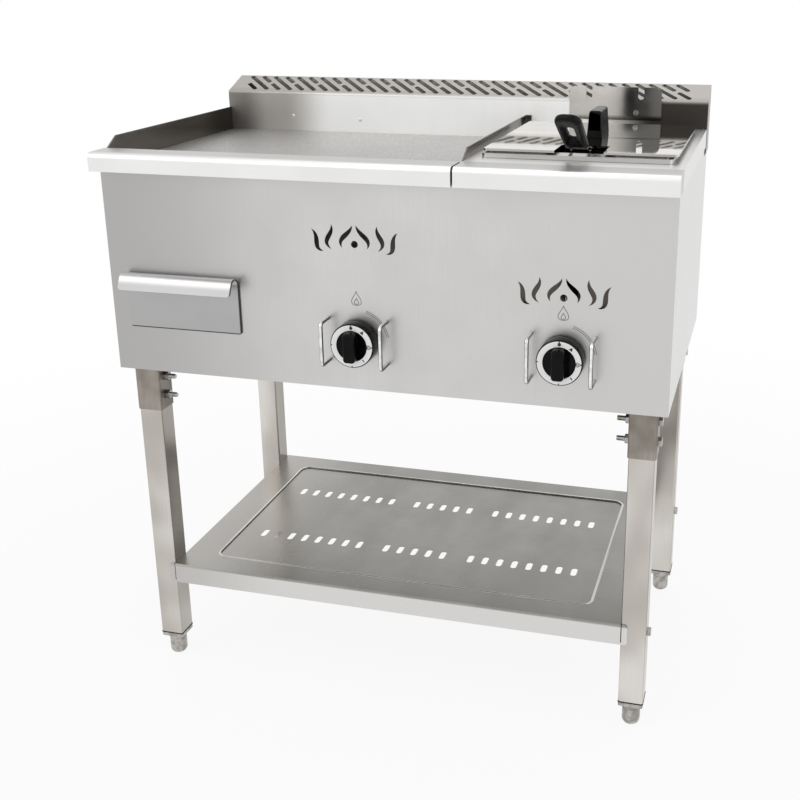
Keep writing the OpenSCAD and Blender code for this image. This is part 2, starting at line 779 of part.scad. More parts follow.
// Round chute that lets the grease fall from the trough into the drawer.
module grease_chute() {
    z0 = z_tray + drawer_tray_h + 8;
    color([0.72, 0.72, 0.71]) station()
        translate([x_drawer_mid, (y_trough + y_trough_rear) / 2, z0]) difference() {
            union() {
                cylinder(h = z_trough - sheet_t - z0, d = chute_d);
                translate([0, 0, z_trough - 2 * sheet_t - z0]) cylinder(h = sheet_t, d = chute_d + 4);
            }
            translate([0, 0, -cut])
                cylinder(h = z_trough - z0 + 2 * cut, d = chute_d - 2 * sheet_t);
        }
}

// Tank and deck opening places
y_tank = tank_y + tank_rim_y;
y_tank_rear = y_tank + tank_d;
deck_margin = 4;

// Fryer deck: the right part of the front rail and the flat top with the tank's opening.
module fryer_deck() {
    x_nose_end = x_right + rail_over;
    x_side = x_right + sheet_t;
    color([0.90, 0.90, 0.90]) station() {
        nose(x_split, x_nose_end, x_nose_end - sheet_t);
        along_x(x_split, x_split + sheet_t) nose_outline(0);
        difference() {
            span([x_split, rail_in - sheet_t, z_deck - sheet_t],
                [x_side, y_flue_front - hole_gap, z_deck]);
            span([x_fryer - tank_w / 2 - deck_margin, y_tank - deck_margin, z_deck - 2 * sheet_t],
                [x_fryer + tank_w / 2 + deck_margin, y_tank_rear + deck_margin, z_deck + cut]);
        }
        span([x_right, rail_in - sheet_t, z_panel_top - 2],
            [x_side, y_flue_front - 2 * sheet_t, z_deck]);
        span([x_split, rail_in + 10, z_panel_top], [x_split + sheet_t, y_flue_front - hole_gap, z_deck]);
    }
}

// Outline of the backsplash's box in Y and Z, from its bottom at z0.
module flue_outline(z0, inset) {
    r = flue_bend_r - inset;
    z_edge = z_flue_front - inset * 1.2;
    centre = [y_flue_front + inset + r, z_edge - r / tan(45 + flue_slope / 2)];
    polygon(concat([[y_flue_front + inset, z0], [y_flue_rear - inset, z0],
        [y_flue_rear - inset, z_flue_rear - inset * 1.2]], arc(centre, r, 90 + flue_slope, 180)));
}

// Diagonal slots in the plane of the slotted top, which starts at its front edge.
// Whole slots and broken ones take turns, and the first and last lines keep one half only.
module flue_slots() {
    s_low = 8.5;
    s_high = flue_top_l - 3;
    s_mid = (s_low + s_high) / 2;
    left_set = 3.4;
    half_l = (s_high - s_low) / 2 * sqrt(2);
    short_l = half_l * 0.9;
    last = flue_slot_count - 1;
    for (i = [0 : last]) {
        x = (i - last / 2) * flue_slot_pitch - left_set;
        broken = i % 2 == 0 || i == last;
        low = i < last;
        high = i > 0;
        translate([x, s_mid]) rotate(-45) {
            if (!broken)
                slot_2d(-half_l, half_l);
            if (broken && low)
                slot_2d(half_l - short_l, half_l);
            if (broken && high)
                slot_2d(-half_l, -half_l + short_l);
        }
    }
}

module slot_2d(a, b) {
    r = flue_slot_w / 2;
    translate([a + r, -r]) square([b - a - 2 * r, 2 * r]);
    for (x = [a + r, b - r])
        translate([x, 0]) circle(r, $fn = 24);
}

// Folded backsplash: a box open below, closed at both ends, that lets the flue gas out on top.
module backsplash() {
    z0 = z_cap;
    color([0.80, 0.79, 0.77]) station() difference() {
        union() {
            along_x(x_left, x_right) difference() {
                flue_outline(z0, 0);
                flue_outline(z0 - cut, sheet_t);
                translate([y_flue_front - cut, z0 - cut])
                    square([sheet_t + 2 * cut, z_plate_under - z0 + cut]);
            }
            for (x = [x_left - sheet_t, x_right])
                along_x(x, x + sheet_t) flue_outline(z0, 0);
        }
        translate([0, y_flue_front, z_flue_front]) rotate([flue_slope, 0, 0])
            translate([0, 0, -3 * sheet_t]) linear_extrude(6 * sheet_t) flue_slots();
        for (p = rear_screw_places())
            drill_y(p.x, cabinet_d - cut, y_flue_rear + cut, p.y, screw_d / 2 + hole_gap);
        for (x = hanger_screw_places())
            drill_y(x, y_flue_front - cut, y_flue_front + 2 * sheet_t, z_hanger_screw,
                screw_d / 2 + hole_gap);
    }
}

// Hanger places
z_hanger_screw = z_flue_front - 19.5;
function hanger_screw_places() = [for (side = [-1, 1]) x_fryer + side * 35];

// Plate on the backsplash that the lifted basket hooks on; its notches are open at the top.
module basket_hanger() {
    tab_r = 11;
    drop = 32;
    proud = 4;
    z_top = z_flue_front + hanger_tab_h;
    y_back = y_flue_front - 0.1;
    y_tab = y_back - proud;
    color([0.76, 0.76, 0.75]) station() difference() {
        union() {
            span([x_fryer - hanger_w / 2, y_back - sheet_t, z_flue_front - drop],
                [x_fryer + hanger_w / 2, y_back, z_flue_front]);
            span([x_fryer - hanger_w / 2, y_tab - sheet_t, z_flue_front - sheet_t],
                [x_fryer + hanger_w / 2, y_back, z_flue_front]);
            along_y(y_tab - sheet_t, y_tab) difference() {
                union() {
                    round_rect([x_fryer - hanger_w / 2, z_flue_front - 2 * sheet_t],
                        [x_fryer + hanger_w / 2, z_top], tab_r);
                    translate([x_fryer - hanger_w / 2, z_flue_front - sheet_t])
                        square([hanger_w, hanger_tab_h - tab_r]);
                }
                translate([x_fryer - hanger_w, z_flue_front - sheet_t - hanger_w])
                    square([2 * hanger_w, hanger_w]);
                for (side = [-1, 1]) {
                    x = x_fryer + side * hanger_notch_gap / 2;
                    translate([x, z_flue_front + hanger_notch_w / 2 + 2]) circle(hanger_notch_w / 2);
                    translate([x - hanger_notch_w / 2, z_flue_front + hanger_notch_w / 2 + 2])
                        square([hanger_notch_w, hanger_tab_h]);
                }
            }
        }
        for (x = hanger_screw_places())
            drill_y(x, y_tab - 2 * sheet_t, y_back + cut, z_hanger_screw, screw_d / 2 + hole_gap);
    }
}

module hanger_screws() {
    color([0.78, 0.78, 0.77]) station()
        for (x = hanger_screw_places())
            pan_screw(x, y_flue_front - 0.1 - sheet_t, z_hanger_screw, 9, -1);
}

// Places of the drawer handle in Y and Z: the middle of its curl and of the lip's end
y_drawer_face = -drawer_out - sheet_t;
curl_mid = [y_drawer_face - curl_r + sheet_t, z_drawer + drawer_h - curl_r];
lip_end = curl_mid + lip_l * [-sin(lip_turn), cos(lip_turn)];

// Drawer front: a flat plate whose upper edge curls forward into a lip handle.
module drawer_front() {
    corner_r = 3;
    color([0.69, 0.68, 0.68]) station() difference() {
        along_x(x_drawer, x_drawer + drawer_w) drawer_profile();
        for (side = [0, 1]) {
            translate([x_drawer + side * drawer_w, y_drawer_face + 2 * sheet_t, z_drawer])
                mirror([side, 0, 0]) rotate([90, 0, 0]) linear_extrude(3 * sheet_t) corner_cut(corner_r);
            translate([x_drawer + side * drawer_w, lip_end.x, lip_end.y])
                mirror([side, 0, 0]) rotate([lip_turn - 90, 0, 0])
                translate([0, 0, curl_r - 2 * sheet_t]) linear_extrude(3 * sheet_t) corner_cut(lip_corner_r);
        }
    }
}

// What a rounded lower left corner at the origin takes off a sheet.
module corner_cut(r) {
    difference() {
        translate([-r, -r]) square(2 * r);
        translate([r, r]) circle(r);
    }
}

// A sheet strip: the upright face, the rolled top edge and the pull lip that hangs from it.
module drawer_profile() {
    outer = arc(curl_mid, curl_r, 0, lip_turn, 16);
    inner = arc(curl_mid, curl_r - sheet_t, lip_turn, 0, 16);
    out = [cos(lip_turn), sin(lip_turn)];
    polygon(concat([[y_drawer_face, z_drawer], [y_drawer_face + sheet_t, z_drawer]], outer,
        [lip_end + curl_r * out, lip_end + (curl_r - sheet_t) * out], inner));
}

// Grease tray behind the drawer front, open at the top.
module drawer_tray() {
    x0 = x_drawer_mid - tray_half;
    x1 = x_drawer_mid + tray_half;
    color([0.72, 0.72, 0.71]) station() difference() {
        span([x0, -drawer_out, z_tray], [x1, drawer_l, z_tray + drawer_tray_h]);
        span([x0 + sheet_t, -drawer_out + sheet_t, z_tray + sheet_t],
            [x1 - sheet_t, drawer_l - sheet_t, z_tray + drawer_tray_h + cut]);
    }
}

// Two angle runners from the front panel to the rear panel that carry the tray.
module drawer_runners() {
    ledge = 14;
    web_h = 26;
    color([0.62, 0.62, 0.61]) station()
        for (side = [-1, 1]) {
            x_web = x_drawer_mid + side * (tray_half + slide_gap + sheet_t / 2);
            span([x_web - sheet_t / 2, sheet_t, z_tray - seat_gap - sheet_t],
                [x_web + sheet_t / 2, cabinet_d - sheet_t, z_tray + web_h]);
            translate([x_web - side * ledge / 2, 0, 0])
                span([-ledge / 2, sheet_t, z_tray - seat_gap - sheet_t],
                    [ledge / 2, cabinet_d - sheet_t, z_tray - seat_gap]);
        }
}

// Turns a shape that is built up along +Z so that it points out of the front panel.
module facing_front(x) {
    translate([x, 0, z_knob]) rotate([90, 0, 0]) children();
}

dial_t = 0.8;
dial_in_r = knob_r * 0.69;
dial_out_r = knob_r * 0.955;
o_dial = knob_gap + knob_depth;

// Control knob: a hollow skirt, a dial with a recessed disc and a bar to turn it.
module knob(x) {
    wall = 2.5;
    hub_r = spindle_d * 1.1;
    o_disc = o_dial - 2;
    bar_l = 2 * dial_in_r - 1;
    bar_round = 4;
    color([0.07, 0.07, 0.07]) station() facing_front(x) difference() {
        union() {
            difference() {
                translate([0, 0, knob_gap]) cylinder(h = knob_depth, r = knob_r);
                translate([0, 0, knob_gap - cut])
                    cylinder(h = knob_depth - 2 * wall + cut, r = knob_r - wall);
                translate([0, 0, o_disc]) cylinder(h = knob_depth, r = dial_in_r);
                translate([0, 0, o_dial - dial_t / 2]) difference() {
                    cylinder(h = knob_depth, r = dial_out_r);
                    translate([0, 0, -cut]) cylinder(h = knob_depth + 2 * cut, r = dial_in_r + 0.5);
                }
            }
            translate([0, 0, knob_gap]) cylinder(h = knob_depth - wall, r = hub_r);
            translate([0, 0, o_disc - cut]) linear_extrude(knob_front - o_disc + cut - 2)
                round_rect([-knob_bar_w / 2, -bar_l / 2], [knob_bar_w / 2, bar_l / 2], bar_round);
            translate([0, 0, o_disc]) linear_extrude(knob_front - o_disc)
                round_rect([-knob_bar_w / 2 + 2, -bar_l / 2 + 2],
                    [knob_bar_w / 2 - 2, bar_l / 2 - 2], bar_round - 1);
        }
        translate([0, 0, knob_gap - cut])
            cylinder(h = knob_depth - wall + cut, r = spindle_d / 2 + spindle_fit);
    }
}

// Pale printed ring set into the dial of a knob.
module dial_ring(x) {
    color([0.95, 0.95, 0.95]) station() facing_front(x)
        translate([0, 0, o_dial - dial_t / 2]) difference() {
            cylinder(h = dial_t, r = dial_out_r - hole_gap);
            translate([0, 0, -cut]) cylinder(h = dial_t + 2 * cut, r = dial_in_r + 0.6);
        }
}

// Valve places, measured inward from the front panel's face
valve_y = 14;
valve_l = 36;
valve_w = 28;
valve_bore_l = 16;
boss_l = 8;
manifold_y = valve_y + valve_l + manifold_d / 2;

// Spindle that the knob sits on and that turns and slides in the valve.
module valve_spindle(x) {
    y_end = valve_y + valve_bore_l - push_travel - 1;
    color([0.80, 0.72, 0.45]) station()
        drill_y(x, -knob_gap - knob_depth + 4, y_end, z_knob, spindle_d / 2);
}

// Gas valve behind the panel, clamped on the manifold, with a spindle boss and an outlet on top.
module gas_valve(x) {
    color([0.78, 0.66, 0.35]) station() difference() {
        union() {
            span([x - valve_w / 2, valve_y, z_knob - valve_w / 2],
                [x + valve_w / 2, valve_y + valve_l, z_knob + valve_w / 2]);
            drill_y(x, valve_y - boss_l, valve_y + cut, z_knob, spindle_d * 0.95);
            translate([x, valve_y + valve_l / 2, z_knob + valve_w / 2 - cut])
                cylinder(h = cut + 10, d = feed_d + 6);
        }
        drill_y(x, valve_y - boss_l - cut, valve_y + valve_bore_l, z_knob, spindle_d / 2 + spindle_fit);
        translate([x, valve_y + valve_l / 2, z_knob])
            cylinder(h = valve_w, d = feed_d - 3);
    }
}

// Bent rod guards at both sides of each knob, welded into the front panel.
module knob_guards() {
    bend_r = guard_d;
    o_mid = guard_out - guard_d / 2;
    half = (guard_h - guard_d) / 2;
    color([0.85, 0.85, 0.84]) station()
        for (x = [griddle_knob_x, x_fryer], side = [-1, 1]) facing_front(x + side * guard_half) {
            for (end = [-1, 1]) {
                translate([0, end * half, -sheet_t - 2])
                    cylinder(h = o_mid - bend_r + sheet_t + 2, d = guard_d);
                translate([0, end * (half - bend_r), o_mid - bend_r])
                    rotate([end > 0 ? 0 : 180, 0, 0]) rotate([0, end > 0 ? -90 : 90, 0])
                    rotate_extrude(angle = 90) translate([bend_r, 0]) circle(d = guard_d);
            }
            translate([0, -(half - bend_r), o_mid]) rotate([-90, 0, 0])
                cylinder(h = 2 * (half - bend_r), d = guard_d);
        }
}

// Inlet place
x_inlet = x_right - inlet_from_right;

// Manifold: a pipe along the valves that turns to the rear at its right end.
module gas_manifold() {
    x0 = griddle_knob_x - 40;
    y1 = cabinet_d - 30;
    color([0.70, 0.70, 0.69]) station() difference() {
        union() {
            drill_x(x0, x_inlet, manifold_y, z_knob, manifold_d / 2);
            drill_y(x_inlet, manifold_y, y1, z_knob, manifold_d / 2);
            translate([x_inlet, manifold_y, z_knob]) sphere(d = manifold_d);
        }
        drill_x(x0 + 3, x_inlet, manifold_y, z_knob, manifold_d / 2 - 2.6);
        drill_y(x_inlet, manifold_y, y1 + cut, z_knob, manifold_d / 2 - 2.6);
    }
}

// Bulkhead fitting on the rear panel with an outer pipe thread for the gas supply.
module gas_inlet() {
    nut_w = 30;
    color([0.78, 0.66, 0.35]) station() difference() {
        union() {
            drill_y(x_inlet, cabinet_d - 30, cabinet_d, z_knob, manifold_d / 2);
            drill_y(x_inlet, cabinet_d, y_inlet_end, z_knob, inlet_d / 2);
            translate([x_inlet, cabinet_d, z_knob]) rotate([-90, 0, 0])
                cylinder(h = 4, d = nut_w, $fn = 6);
            translate([x_inlet, cabinet_d - sheet_t - 5, z_knob]) rotate([-90, 0, 0])
                cylinder(h = 5, d = nut_w, $fn = 6);
        }
        drill_y(x_inlet, cabinet_d - 30 - cut, y_inlet_end + cut, z_knob, manifold_d / 2 - 2.6);
    }
}

// Burner places
x_griddle_burner = (x_left + x_split) / 2;
z_griddle_burner = z_knob + griddle_burner_rise;
z_fryer_burner = z_knob + fryer_burner_rise;
burner_y = 48;
burner_rows = [150, 330];
fryer_rows = [150, 310];
bar_in = 22;
x_bar = [x_left + bar_in, x_split - splash_t - bar_in, x_split + bar_in, x_right - bar_in];

// Pipes from the valve outlets to the burners.
module burner_feed_pipes() {
    y0 = valve_y + valve_l / 2;
    z0 = z_knob + valve_w / 2 + 2;
    z_bend = z_knob + 60;
    color([0.80, 0.52, 0.35]) station() {
        bent_rod([[griddle_knob_x, y0, z0], [griddle_knob_x, y0, z_bend],
            [x_griddle_burner, y0, z_bend], [x_griddle_burner, y0, z_griddle_burner],
            [x_griddle_burner, burner_y + 4, z_griddle_burner]], feed_d - 3.2);
        bent_rod([[x_fryer, y0, z0], [x_fryer, y0, z_fryer_burner],
            [x_fryer, burner_y + 4, z_fryer_burner]], feed_d - 3.2);
    }
}

// Tubular burner: a mixing tube from the front and two cross tubes with closed ends.
module tube_burner(x, z, d, rows, x0, x1) {
    difference() {
        union() {
            drill_y(x, burner_y, rows[1], z, d / 2);
            drill_y(x, burner_y, burner_y + 20, z, d / 2 + 3);
            for (y = rows)
                drill_x(x0, x1, y, z, d / 2);
        }
        drill_y(x, burner_y - cut, rows[1], z, d / 2 - 2);
        for (y = rows)
            drill_x(x0 + 2, x1 - 2, y, z, d / 2 - 2);
    }
}

module griddle_burner() {
    color([0.58, 0.56, 0.53]) station()
        tube_burner(x_griddle_burner, z_griddle_burner, griddle_burner_d, burner_rows,
            x_bar[0] - 8, x_bar[1] + 8);
}

module fryer_burner() {
    color([0.58, 0.56, 0.53]) station()
        tube_burner(x_fryer, z_fryer_burner, fryer_burner_d, fryer_rows,
            x_bar[2] - 8, x_bar[3] + 8);
}

// Flat bars on edge from the front panel to the rear panel, under the burners' ends.
module burner_support_bars() {
    tops = [z_griddle_burner - griddle_burner_d / 2, z_griddle_burner - griddle_burner_d / 2,
        z_fryer_burner - fryer_burner_d / 2, z_fryer_burner - fryer_burner_d / 2];
    bar_t = 3;
    bar_h = 25;
    color([0.60, 0.60, 0.59]) station()
        for (i = [0 : 3])
            span([x_bar[i] - bar_t / 2, sheet_t, tops[i] - bar_h],
                [x_bar[i] + bar_t / 2, cabinet_d - sheet_t, tops[i]]);
}

// Levels of the fryer
z_rim = z_deck + seat_gap;
z_rim_top = z_rim + tank_rim_h;
z_tank = z_rim - tank_h;
z_lid_rest = z_rim_top + seat_gap;
z_lid_edge = z_rim_top + 2;
z_lid = z_lid_edge + lid_edge_h;

// Lift-out oil tank: a deep pan with a hollow folded rim that rests on the deck.
module oil_tank() {
    rim_a = [x_fryer - tank_w / 2 - tank_rim_x, tank_y];
    rim_b = [x_fryer + tank_w / 2 + tank_rim_x, y_tank_rear + tank_rim_y];
    pan_a = [x_fryer - tank_w / 2, y_tank];
    pan_b = [x_fryer + tank_w / 2, y_tank_rear];
    t = sheet_t;
    color([0.82, 0.82, 0.81]) station() difference() {
        union() {
            translate([0, 0, z_rim]) linear_extrude(tank_rim_h) round_rect(rim_a, rim_b, 6);
            translate([0, 0, z_tank]) linear_extrude(tank_h + cut) round_rect(pan_a, pan_b, 16);
        }
        translate([0, 0, z_rim - cut]) linear_extrude(tank_rim_h + cut - t) difference() {
            round_rect(rim_a + [t, t], rim_b - [t, t], 4.5);
            round_rect(pan_a, pan_b, 16);
        }
        translate([0, 0, z_tank + t]) linear_extrude(tank_h + tank_rim_h)
            round_rect(pan_a + [t, t], pan_b - [t, t], 14.5);
    }
}

// Basket places
basket_y = y_tank + (tank_d - basket_d) / 2;
z_basket_feet = z_tank + sheet_t + seat_gap;
z_basket = z_basket_feet + 12;
z_basket_top = z_basket + basket_h;
basket_wall = 1.6;

// Corners of the basket's wire frame, seen from above.
function basket_a() = [x_fryer - basket_w / 2, basket_y];
function basket_b() = basket_a() + [basket_w, basket_d];

// Wire frame of the frying basket: two loops, corner posts, two runners and two hooks.
module basket_frame() {
    a = basket_a();
    b = basket_b();
    r = wire_d / 2;
    z_low = z_basket + r;
    z_high = z_basket_top - r;
    z_run = z_basket_feet + r;
    runner_in = 30;
    color([0.70, 0.70, 0.69]) station() {
        for (z = [z_low, z_high])
            wire_loop(a, b, z, wire_d);
        for (x = [a.x + r, b.x - r], y = [a.y + r, b.y - r])
            rod([x, y, z_low], [x, y, z_high], wire_d - 0.2);
        for (x = [a.x + runner_in, b.x - runner_in])
            bent_rod([[x, a.y + r, z_low], [x, a.y + r, z_run],
                [x, b.y - r, z_run], [x, b.y - r, z_low]], wire_d - 0.6);
        for (side = [-1, 1])
            hook(x_fryer + side * hanger_notch_gap / 2, b.y - r);
    }
}

// Liner of the basket: thin walls and a floor with long openings, inside the wire frame.
module basket_liner() {
    a = basket_a() + [wire_d + hole_gap, wire_d + hole_gap];
    b = basket_b() - [wire_d + hole_gap, wire_d + hole_gap];
    t = basket_wall;
    bars = 9;
    bar_w = 6;
    pitch_x = (b.x - a.x - bar_w) / bars;
    pitch_y = (b.y - a.y - bar_w) / bars;
    color([0.66, 0.66, 0.65]) station() difference() {
        span([a.x, a.y, z_basket], [b.x, b.y, z_basket_top]);
        span([a.x + t, a.y + t, z_basket + t], [b.x - t, b.y - t, z_basket_top + cut]);
        for (i = [0 : bars - 1]) {
            x = a.x + bar_w + i * pitch_x;
            y = a.y + bar_w + i * pitch_y;
            basket_window([x, a.y - cut], [x + pitch_x - bar_w, b.y + cut]);
            basket_window([a.x - cut, y], [b.x + cut, y + pitch_y - bar_w]);
            span([x, a.y + bar_w, z_basket - cut],
                [x + pitch_x - bar_w, b.y - bar_w, z_basket + t + cut]);
        }
    }
}

// Opening through two facing walls of the basket.
module basket_window(p, q) {
    margin = 14;
    span([p.x, p.y, z_basket + margin], [q.x, q.y, z_basket_top - margin]);
}

// Closed rectangle of wire inside the corners a and b at the height z.
module wire_loop(a, b, z, d) {
    r = d / 2;
    p = [[a.x + r, a.y + r, z], [b.x - r, a.y + r, z], [b.x - r, b.y - r, z],
        [a.x + r, b.y - r, z], [a.x + r, a.y + r, z]];
    bent_rod(p, d);
    translate(p[0]) sphere(d = d + bend_swell);
}

// Small wire hook behind the basket that drops into a hanger notch.
module hook(x, y) {
    reach = 9;
    bent_rod([[x, y, z_basket_top - wire_d / 2], [x, y + reach, z_basket_top - wire_d / 2],
        [x, y + reach, z_basket_top - 14]], wire_d - 1);
}

// Grip place: its lower end, and a point at the distance l along it and w to its right
grip_y = tank_y + 15;
z_grip = z_rim_top + 11;
grip_sink = 18;
function on_grip(l, w) = [x_fryer - l * cos(grip_angle) * sin(grip_yaw) + w * cos(grip_yaw),
    grip_y - l * cos(grip_angle) * cos(grip_yaw) - w * sin(grip_yaw),
    z_grip + l * sin(grip_angle)];

// Two bent wires from the basket's front rim through the lid's notch into the grip.
module basket_handle() {
    y_up = basket_y - wire_d / 2 - hole_gap;
    color([0.72, 0.72, 0.71]) station()
        for (side = [-1, 1]) {
            w = side * handle_wire_gap / 2;
            x = x_fryer + w;
            bent_rod([[x, y_up, z_basket_top - basket_h / 3], [x, y_up, z_rim_top + 5],
                on_grip(0, w), on_grip(grip_sink, w)], wire_d);
        }
}

// Points of an arc round c, from the angle a0 to the angle a1.
function arc(c, r, a0, a1, steps = 6) = [for (i = [0 : steps])
    let (a = a0 + (a1 - a0) * i / steps) c + r * [cos(a), sin(a)]];

// Black grip: a flat paddle, wider and rounder at its free end, with a long finger hole.
module basket_grip() {
    half_base = grip_w / 2 - 2.5;
    half_tip = grip_w / 2;
    base_r = 4;
    tip_r = 9;
    hole_y = grip_l * 0.49;
    crown = 3;
    skin = 1;
    outline = concat(
        arc([base_r, -half_base + base_r], base_r, 180, 270),
        arc([grip_l - crown - tip_r, -half_tip + tip_r], tip_r, -90, -20),
        arc([grip_l - crown - tip_r, half_tip - tip_r], tip_r, 20, 90),
        arc([base_r, half_base - base_r], base_r, 90, 180));
    color([0.05, 0.05, 0.05]) station() difference() {
        translate(on_grip(0, 0)) rotate([0, 0, -90 - grip_yaw]) rotate([0, -grip_angle, 0])
            translate([0, 0, -grip_t / 2]) difference() {
                union() {
                    linear_extrude(grip_t) polygon(outline);
                    translate([skin, 0, -skin]) linear_extrude(grip_t + 2 * skin)
                        scale((grip_l - 2 * skin) / grip_l) polygon(outline);
                }
                translate([hole_y, 0, -2 * skin]) linear_extrude(grip_t + 4 * skin) {
                    square([grip_hole_l - grip_hole_w, grip_hole_w], center = true);
                    for (s = [-1, 1])
                        translate([s * (grip_hole_l - grip_hole_w) / 2, 0]) circle(d = grip_hole_w);
                }
            }
        for (side = [-1, 1]) {
            w = side * handle_wire_gap / 2;
            rod(on_grip(-6, w), on_grip(grip_sink + 0.3, w), wire_d + 0.1);
            translate(on_grip(0, w)) sphere(d = wire_d + 1.6);
        }
    }
}

// Lid places
x_lid = x_fryer + lid_shift;
lid_a = [x_lid - tank_w / 2 - tank_rim_x - 3, tank_y + lid_set_back];
lid_b = [x_lid + tank_w / 2 + tank_rim_x + 3, y_tank_rear + tank_rim_y - 4];
lid_handle_y = (lid_a.y + lid_b.y) / 2 + 10;

// Outline of the lid, drawn in by inset, with the notch for the basket handle.
module lid_outline(inset, r) {
    difference() {
        round_rect(lid_a + [inset, inset], lid_b - [inset, inset], r);
        translate([x_lid - notch_w / 2 - inset, lid_a.y - cut])
            square([notch_w + 2 * inset, notch_d + inset + cut]);
    }
}

// Flat lid with a folded edge and a rib below that keeps it on the tank's rim.
module lid() {
    rib_in = 14;
    t = sheet_t;
    color([0.80, 0.80, 0.80]) station() difference() {
        union() {
            translate([0, 0, z_lid_edge]) linear_extrude(z_lid - z_lid_edge) difference() {
                lid_outline(0, 4);
                translate([0, 0]) lid_outline(t, 2.5);
            }
            translate([0, 0, z_lid - t]) linear_extrude(t) lid_outline(0, 4);
            translate([0, 0, z_lid_rest]) linear_extrude(z_lid - z_lid_rest - t / 2) difference() {
                lid_outline(rib_in, 3);
                lid_outline(rib_in + t, 2);
            }
        }
        for (y = lid_screw_places())
            translate([x_lid, y, z_lid - 3 * t]) cylinder(h = 5 * t, d = 5 + 2 * hole_gap);
    }
}

// How far the lid handle's screws run up into it, and their places along Y.
lid_screw_reach = 9;
function lid_screw_places() = [for (s = [-1, 1]) lid_handle_y + s * lid_handle_l / 4];

// Moulded lid handle: a block with leaning sides, a rounded top and a deep pocket in its front end.
module lid_handle() {
    top_r = 3.5;
    wall = 4.5;
    pocket_d = 30;
    half_foot = lid_handle_w / 2;
    half_top = half_foot - lid_handle_draft - top_r;
    z_top = z_lid + lid_handle_h - top_r;
    y0 = lid_handle_y - lid_handle_l / 2;
    color([0.06, 0.06, 0.06]) station() difference() {
        along_y(y0, y0 + lid_handle_l)
            polygon(concat([[x_lid - half_foot, z_lid], [x_lid + half_foot, z_lid]],
                arc([x_lid + half_top, z_top], top_r, 0, 90),
                arc([x_lid - half_top, z_top], top_r, 90, 180)));
        translate([x_lid, y0, z_lid + lid_handle_h * 0.32]) linear_extrude(lid_handle_h * 0.48)
            polygon([[wall - half_foot, -cut], [half_foot - wall, -cut], [half_foot - wall, cut],
                [2 * wall - half_foot, pocket_d], [wall - half_foot, pocket_d]]);
        for (y = lid_screw_places())
            translate([x_lid, y, z_lid - cut])
                cylinder(h = lid_screw_reach + seat_gap + cut, d = 5 + 0.1);
    }
}

// Screws from below the lid into its handle.
module lid_handle_screws() {
    color([0.75, 0.75, 0.74]) station()
        for (y = lid_screw_places()) translate([x_lid, y, z_lid - sheet_t]) {
            translate([0, 0, -1.5]) cylinder(h = 1.5, d = 10);
            cylinder(h = sheet_t + lid_screw_reach, d = 5);
        }
}

leg(-1, 0);  // leg_front_left
leg(1, 0);  // leg_front_right
leg(-1, 1);  // leg_rear_left
leg(1, 1);  // leg_rear_right
leg_socket(-1, 0);  // socket_front_left
leg_socket(1, 0);  // socket_front_right
leg_socket(-1, 1);  // socket_rear_left
leg_socket(1, 1);  // socket_rear_right
levelling_foot(-1, 0);  // foot_front_left
levelling_foot(1, 0);  // foot_front_right
levelling_foot(-1, 1);  // foot_rear_left
levelling_foot(1, 1);  // foot_rear_right
foot_caps();
leg_gaskets();
leg_bolts();
shelf_bolts();
stand_nuts();
shelf();
front_panel();
side_panel(-1, z_plate_under);  // left_side_panel
side_panel(1, z_deck - sheet_t);  // right_side_panel
rear_panel();
rear_panel_screws();
partition();
griddle_plate();
plate_support_rails();
left_splash_plate();
centre_splash_plate();
griddle_front_rail();
grease_chute();
fryer_deck();
backsplash();
basket_hanger();
hanger_screws();
drawer_front();
drawer_tray();
drawer_runners();
knob(griddle_knob_x);  // griddle_knob
knob(x_fryer);  // fryer_knob
dial_ring(griddle_knob_x);  // griddle_dial_ring
dial_ring(x_fryer);  // fryer_dial_ring
valve_spindle(griddle_knob_x);  // griddle_valve_spindle
valve_spindle(x_fryer);  // fryer_valve_spindle
gas_valve(griddle_knob_x);  // griddle_gas_valve
gas_valve(x_fryer);  // fryer_gas_valve
knob_guards();
gas_manifold();
gas_inlet();
burner_feed_pipes();
griddle_burner();
fryer_burner();
burner_support_bars();
oil_tank();
basket_frame();
basket_liner();
basket_handle();
basket_grip();
lid();
lid_handle();
lid_handle_screws();
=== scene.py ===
"""Griddle and fryer station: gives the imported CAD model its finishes, its finer pieces, a studio and a camera."""

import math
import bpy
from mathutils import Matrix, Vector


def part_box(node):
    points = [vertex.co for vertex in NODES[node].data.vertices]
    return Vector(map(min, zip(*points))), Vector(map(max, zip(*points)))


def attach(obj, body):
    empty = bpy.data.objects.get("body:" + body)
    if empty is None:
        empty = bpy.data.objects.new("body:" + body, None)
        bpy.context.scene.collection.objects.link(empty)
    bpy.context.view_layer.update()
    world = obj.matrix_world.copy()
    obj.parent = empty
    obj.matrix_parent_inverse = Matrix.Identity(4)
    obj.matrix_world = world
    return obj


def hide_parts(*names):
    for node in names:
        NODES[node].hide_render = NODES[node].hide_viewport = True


bl_info = {
    "name": "Griddle and Fryer Station",
    "version": (1, 0, 0),
    "blender": (4, 5, 0),
    "location": "View3D > Sidebar > Station",
    "description": "Finishes and fine pieces for a gas griddle and fryer on a leg stand",
    "category": "Object",
}

import bmesh
import bpy
import numpy as np
from mathutils import Matrix

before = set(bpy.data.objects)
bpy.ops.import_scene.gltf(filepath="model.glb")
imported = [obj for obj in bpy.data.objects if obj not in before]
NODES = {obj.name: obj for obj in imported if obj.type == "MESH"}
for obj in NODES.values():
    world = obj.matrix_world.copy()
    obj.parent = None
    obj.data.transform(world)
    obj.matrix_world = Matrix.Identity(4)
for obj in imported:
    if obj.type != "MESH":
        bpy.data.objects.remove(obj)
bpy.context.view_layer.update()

MM = 0.001
TURN = 2 * math.pi
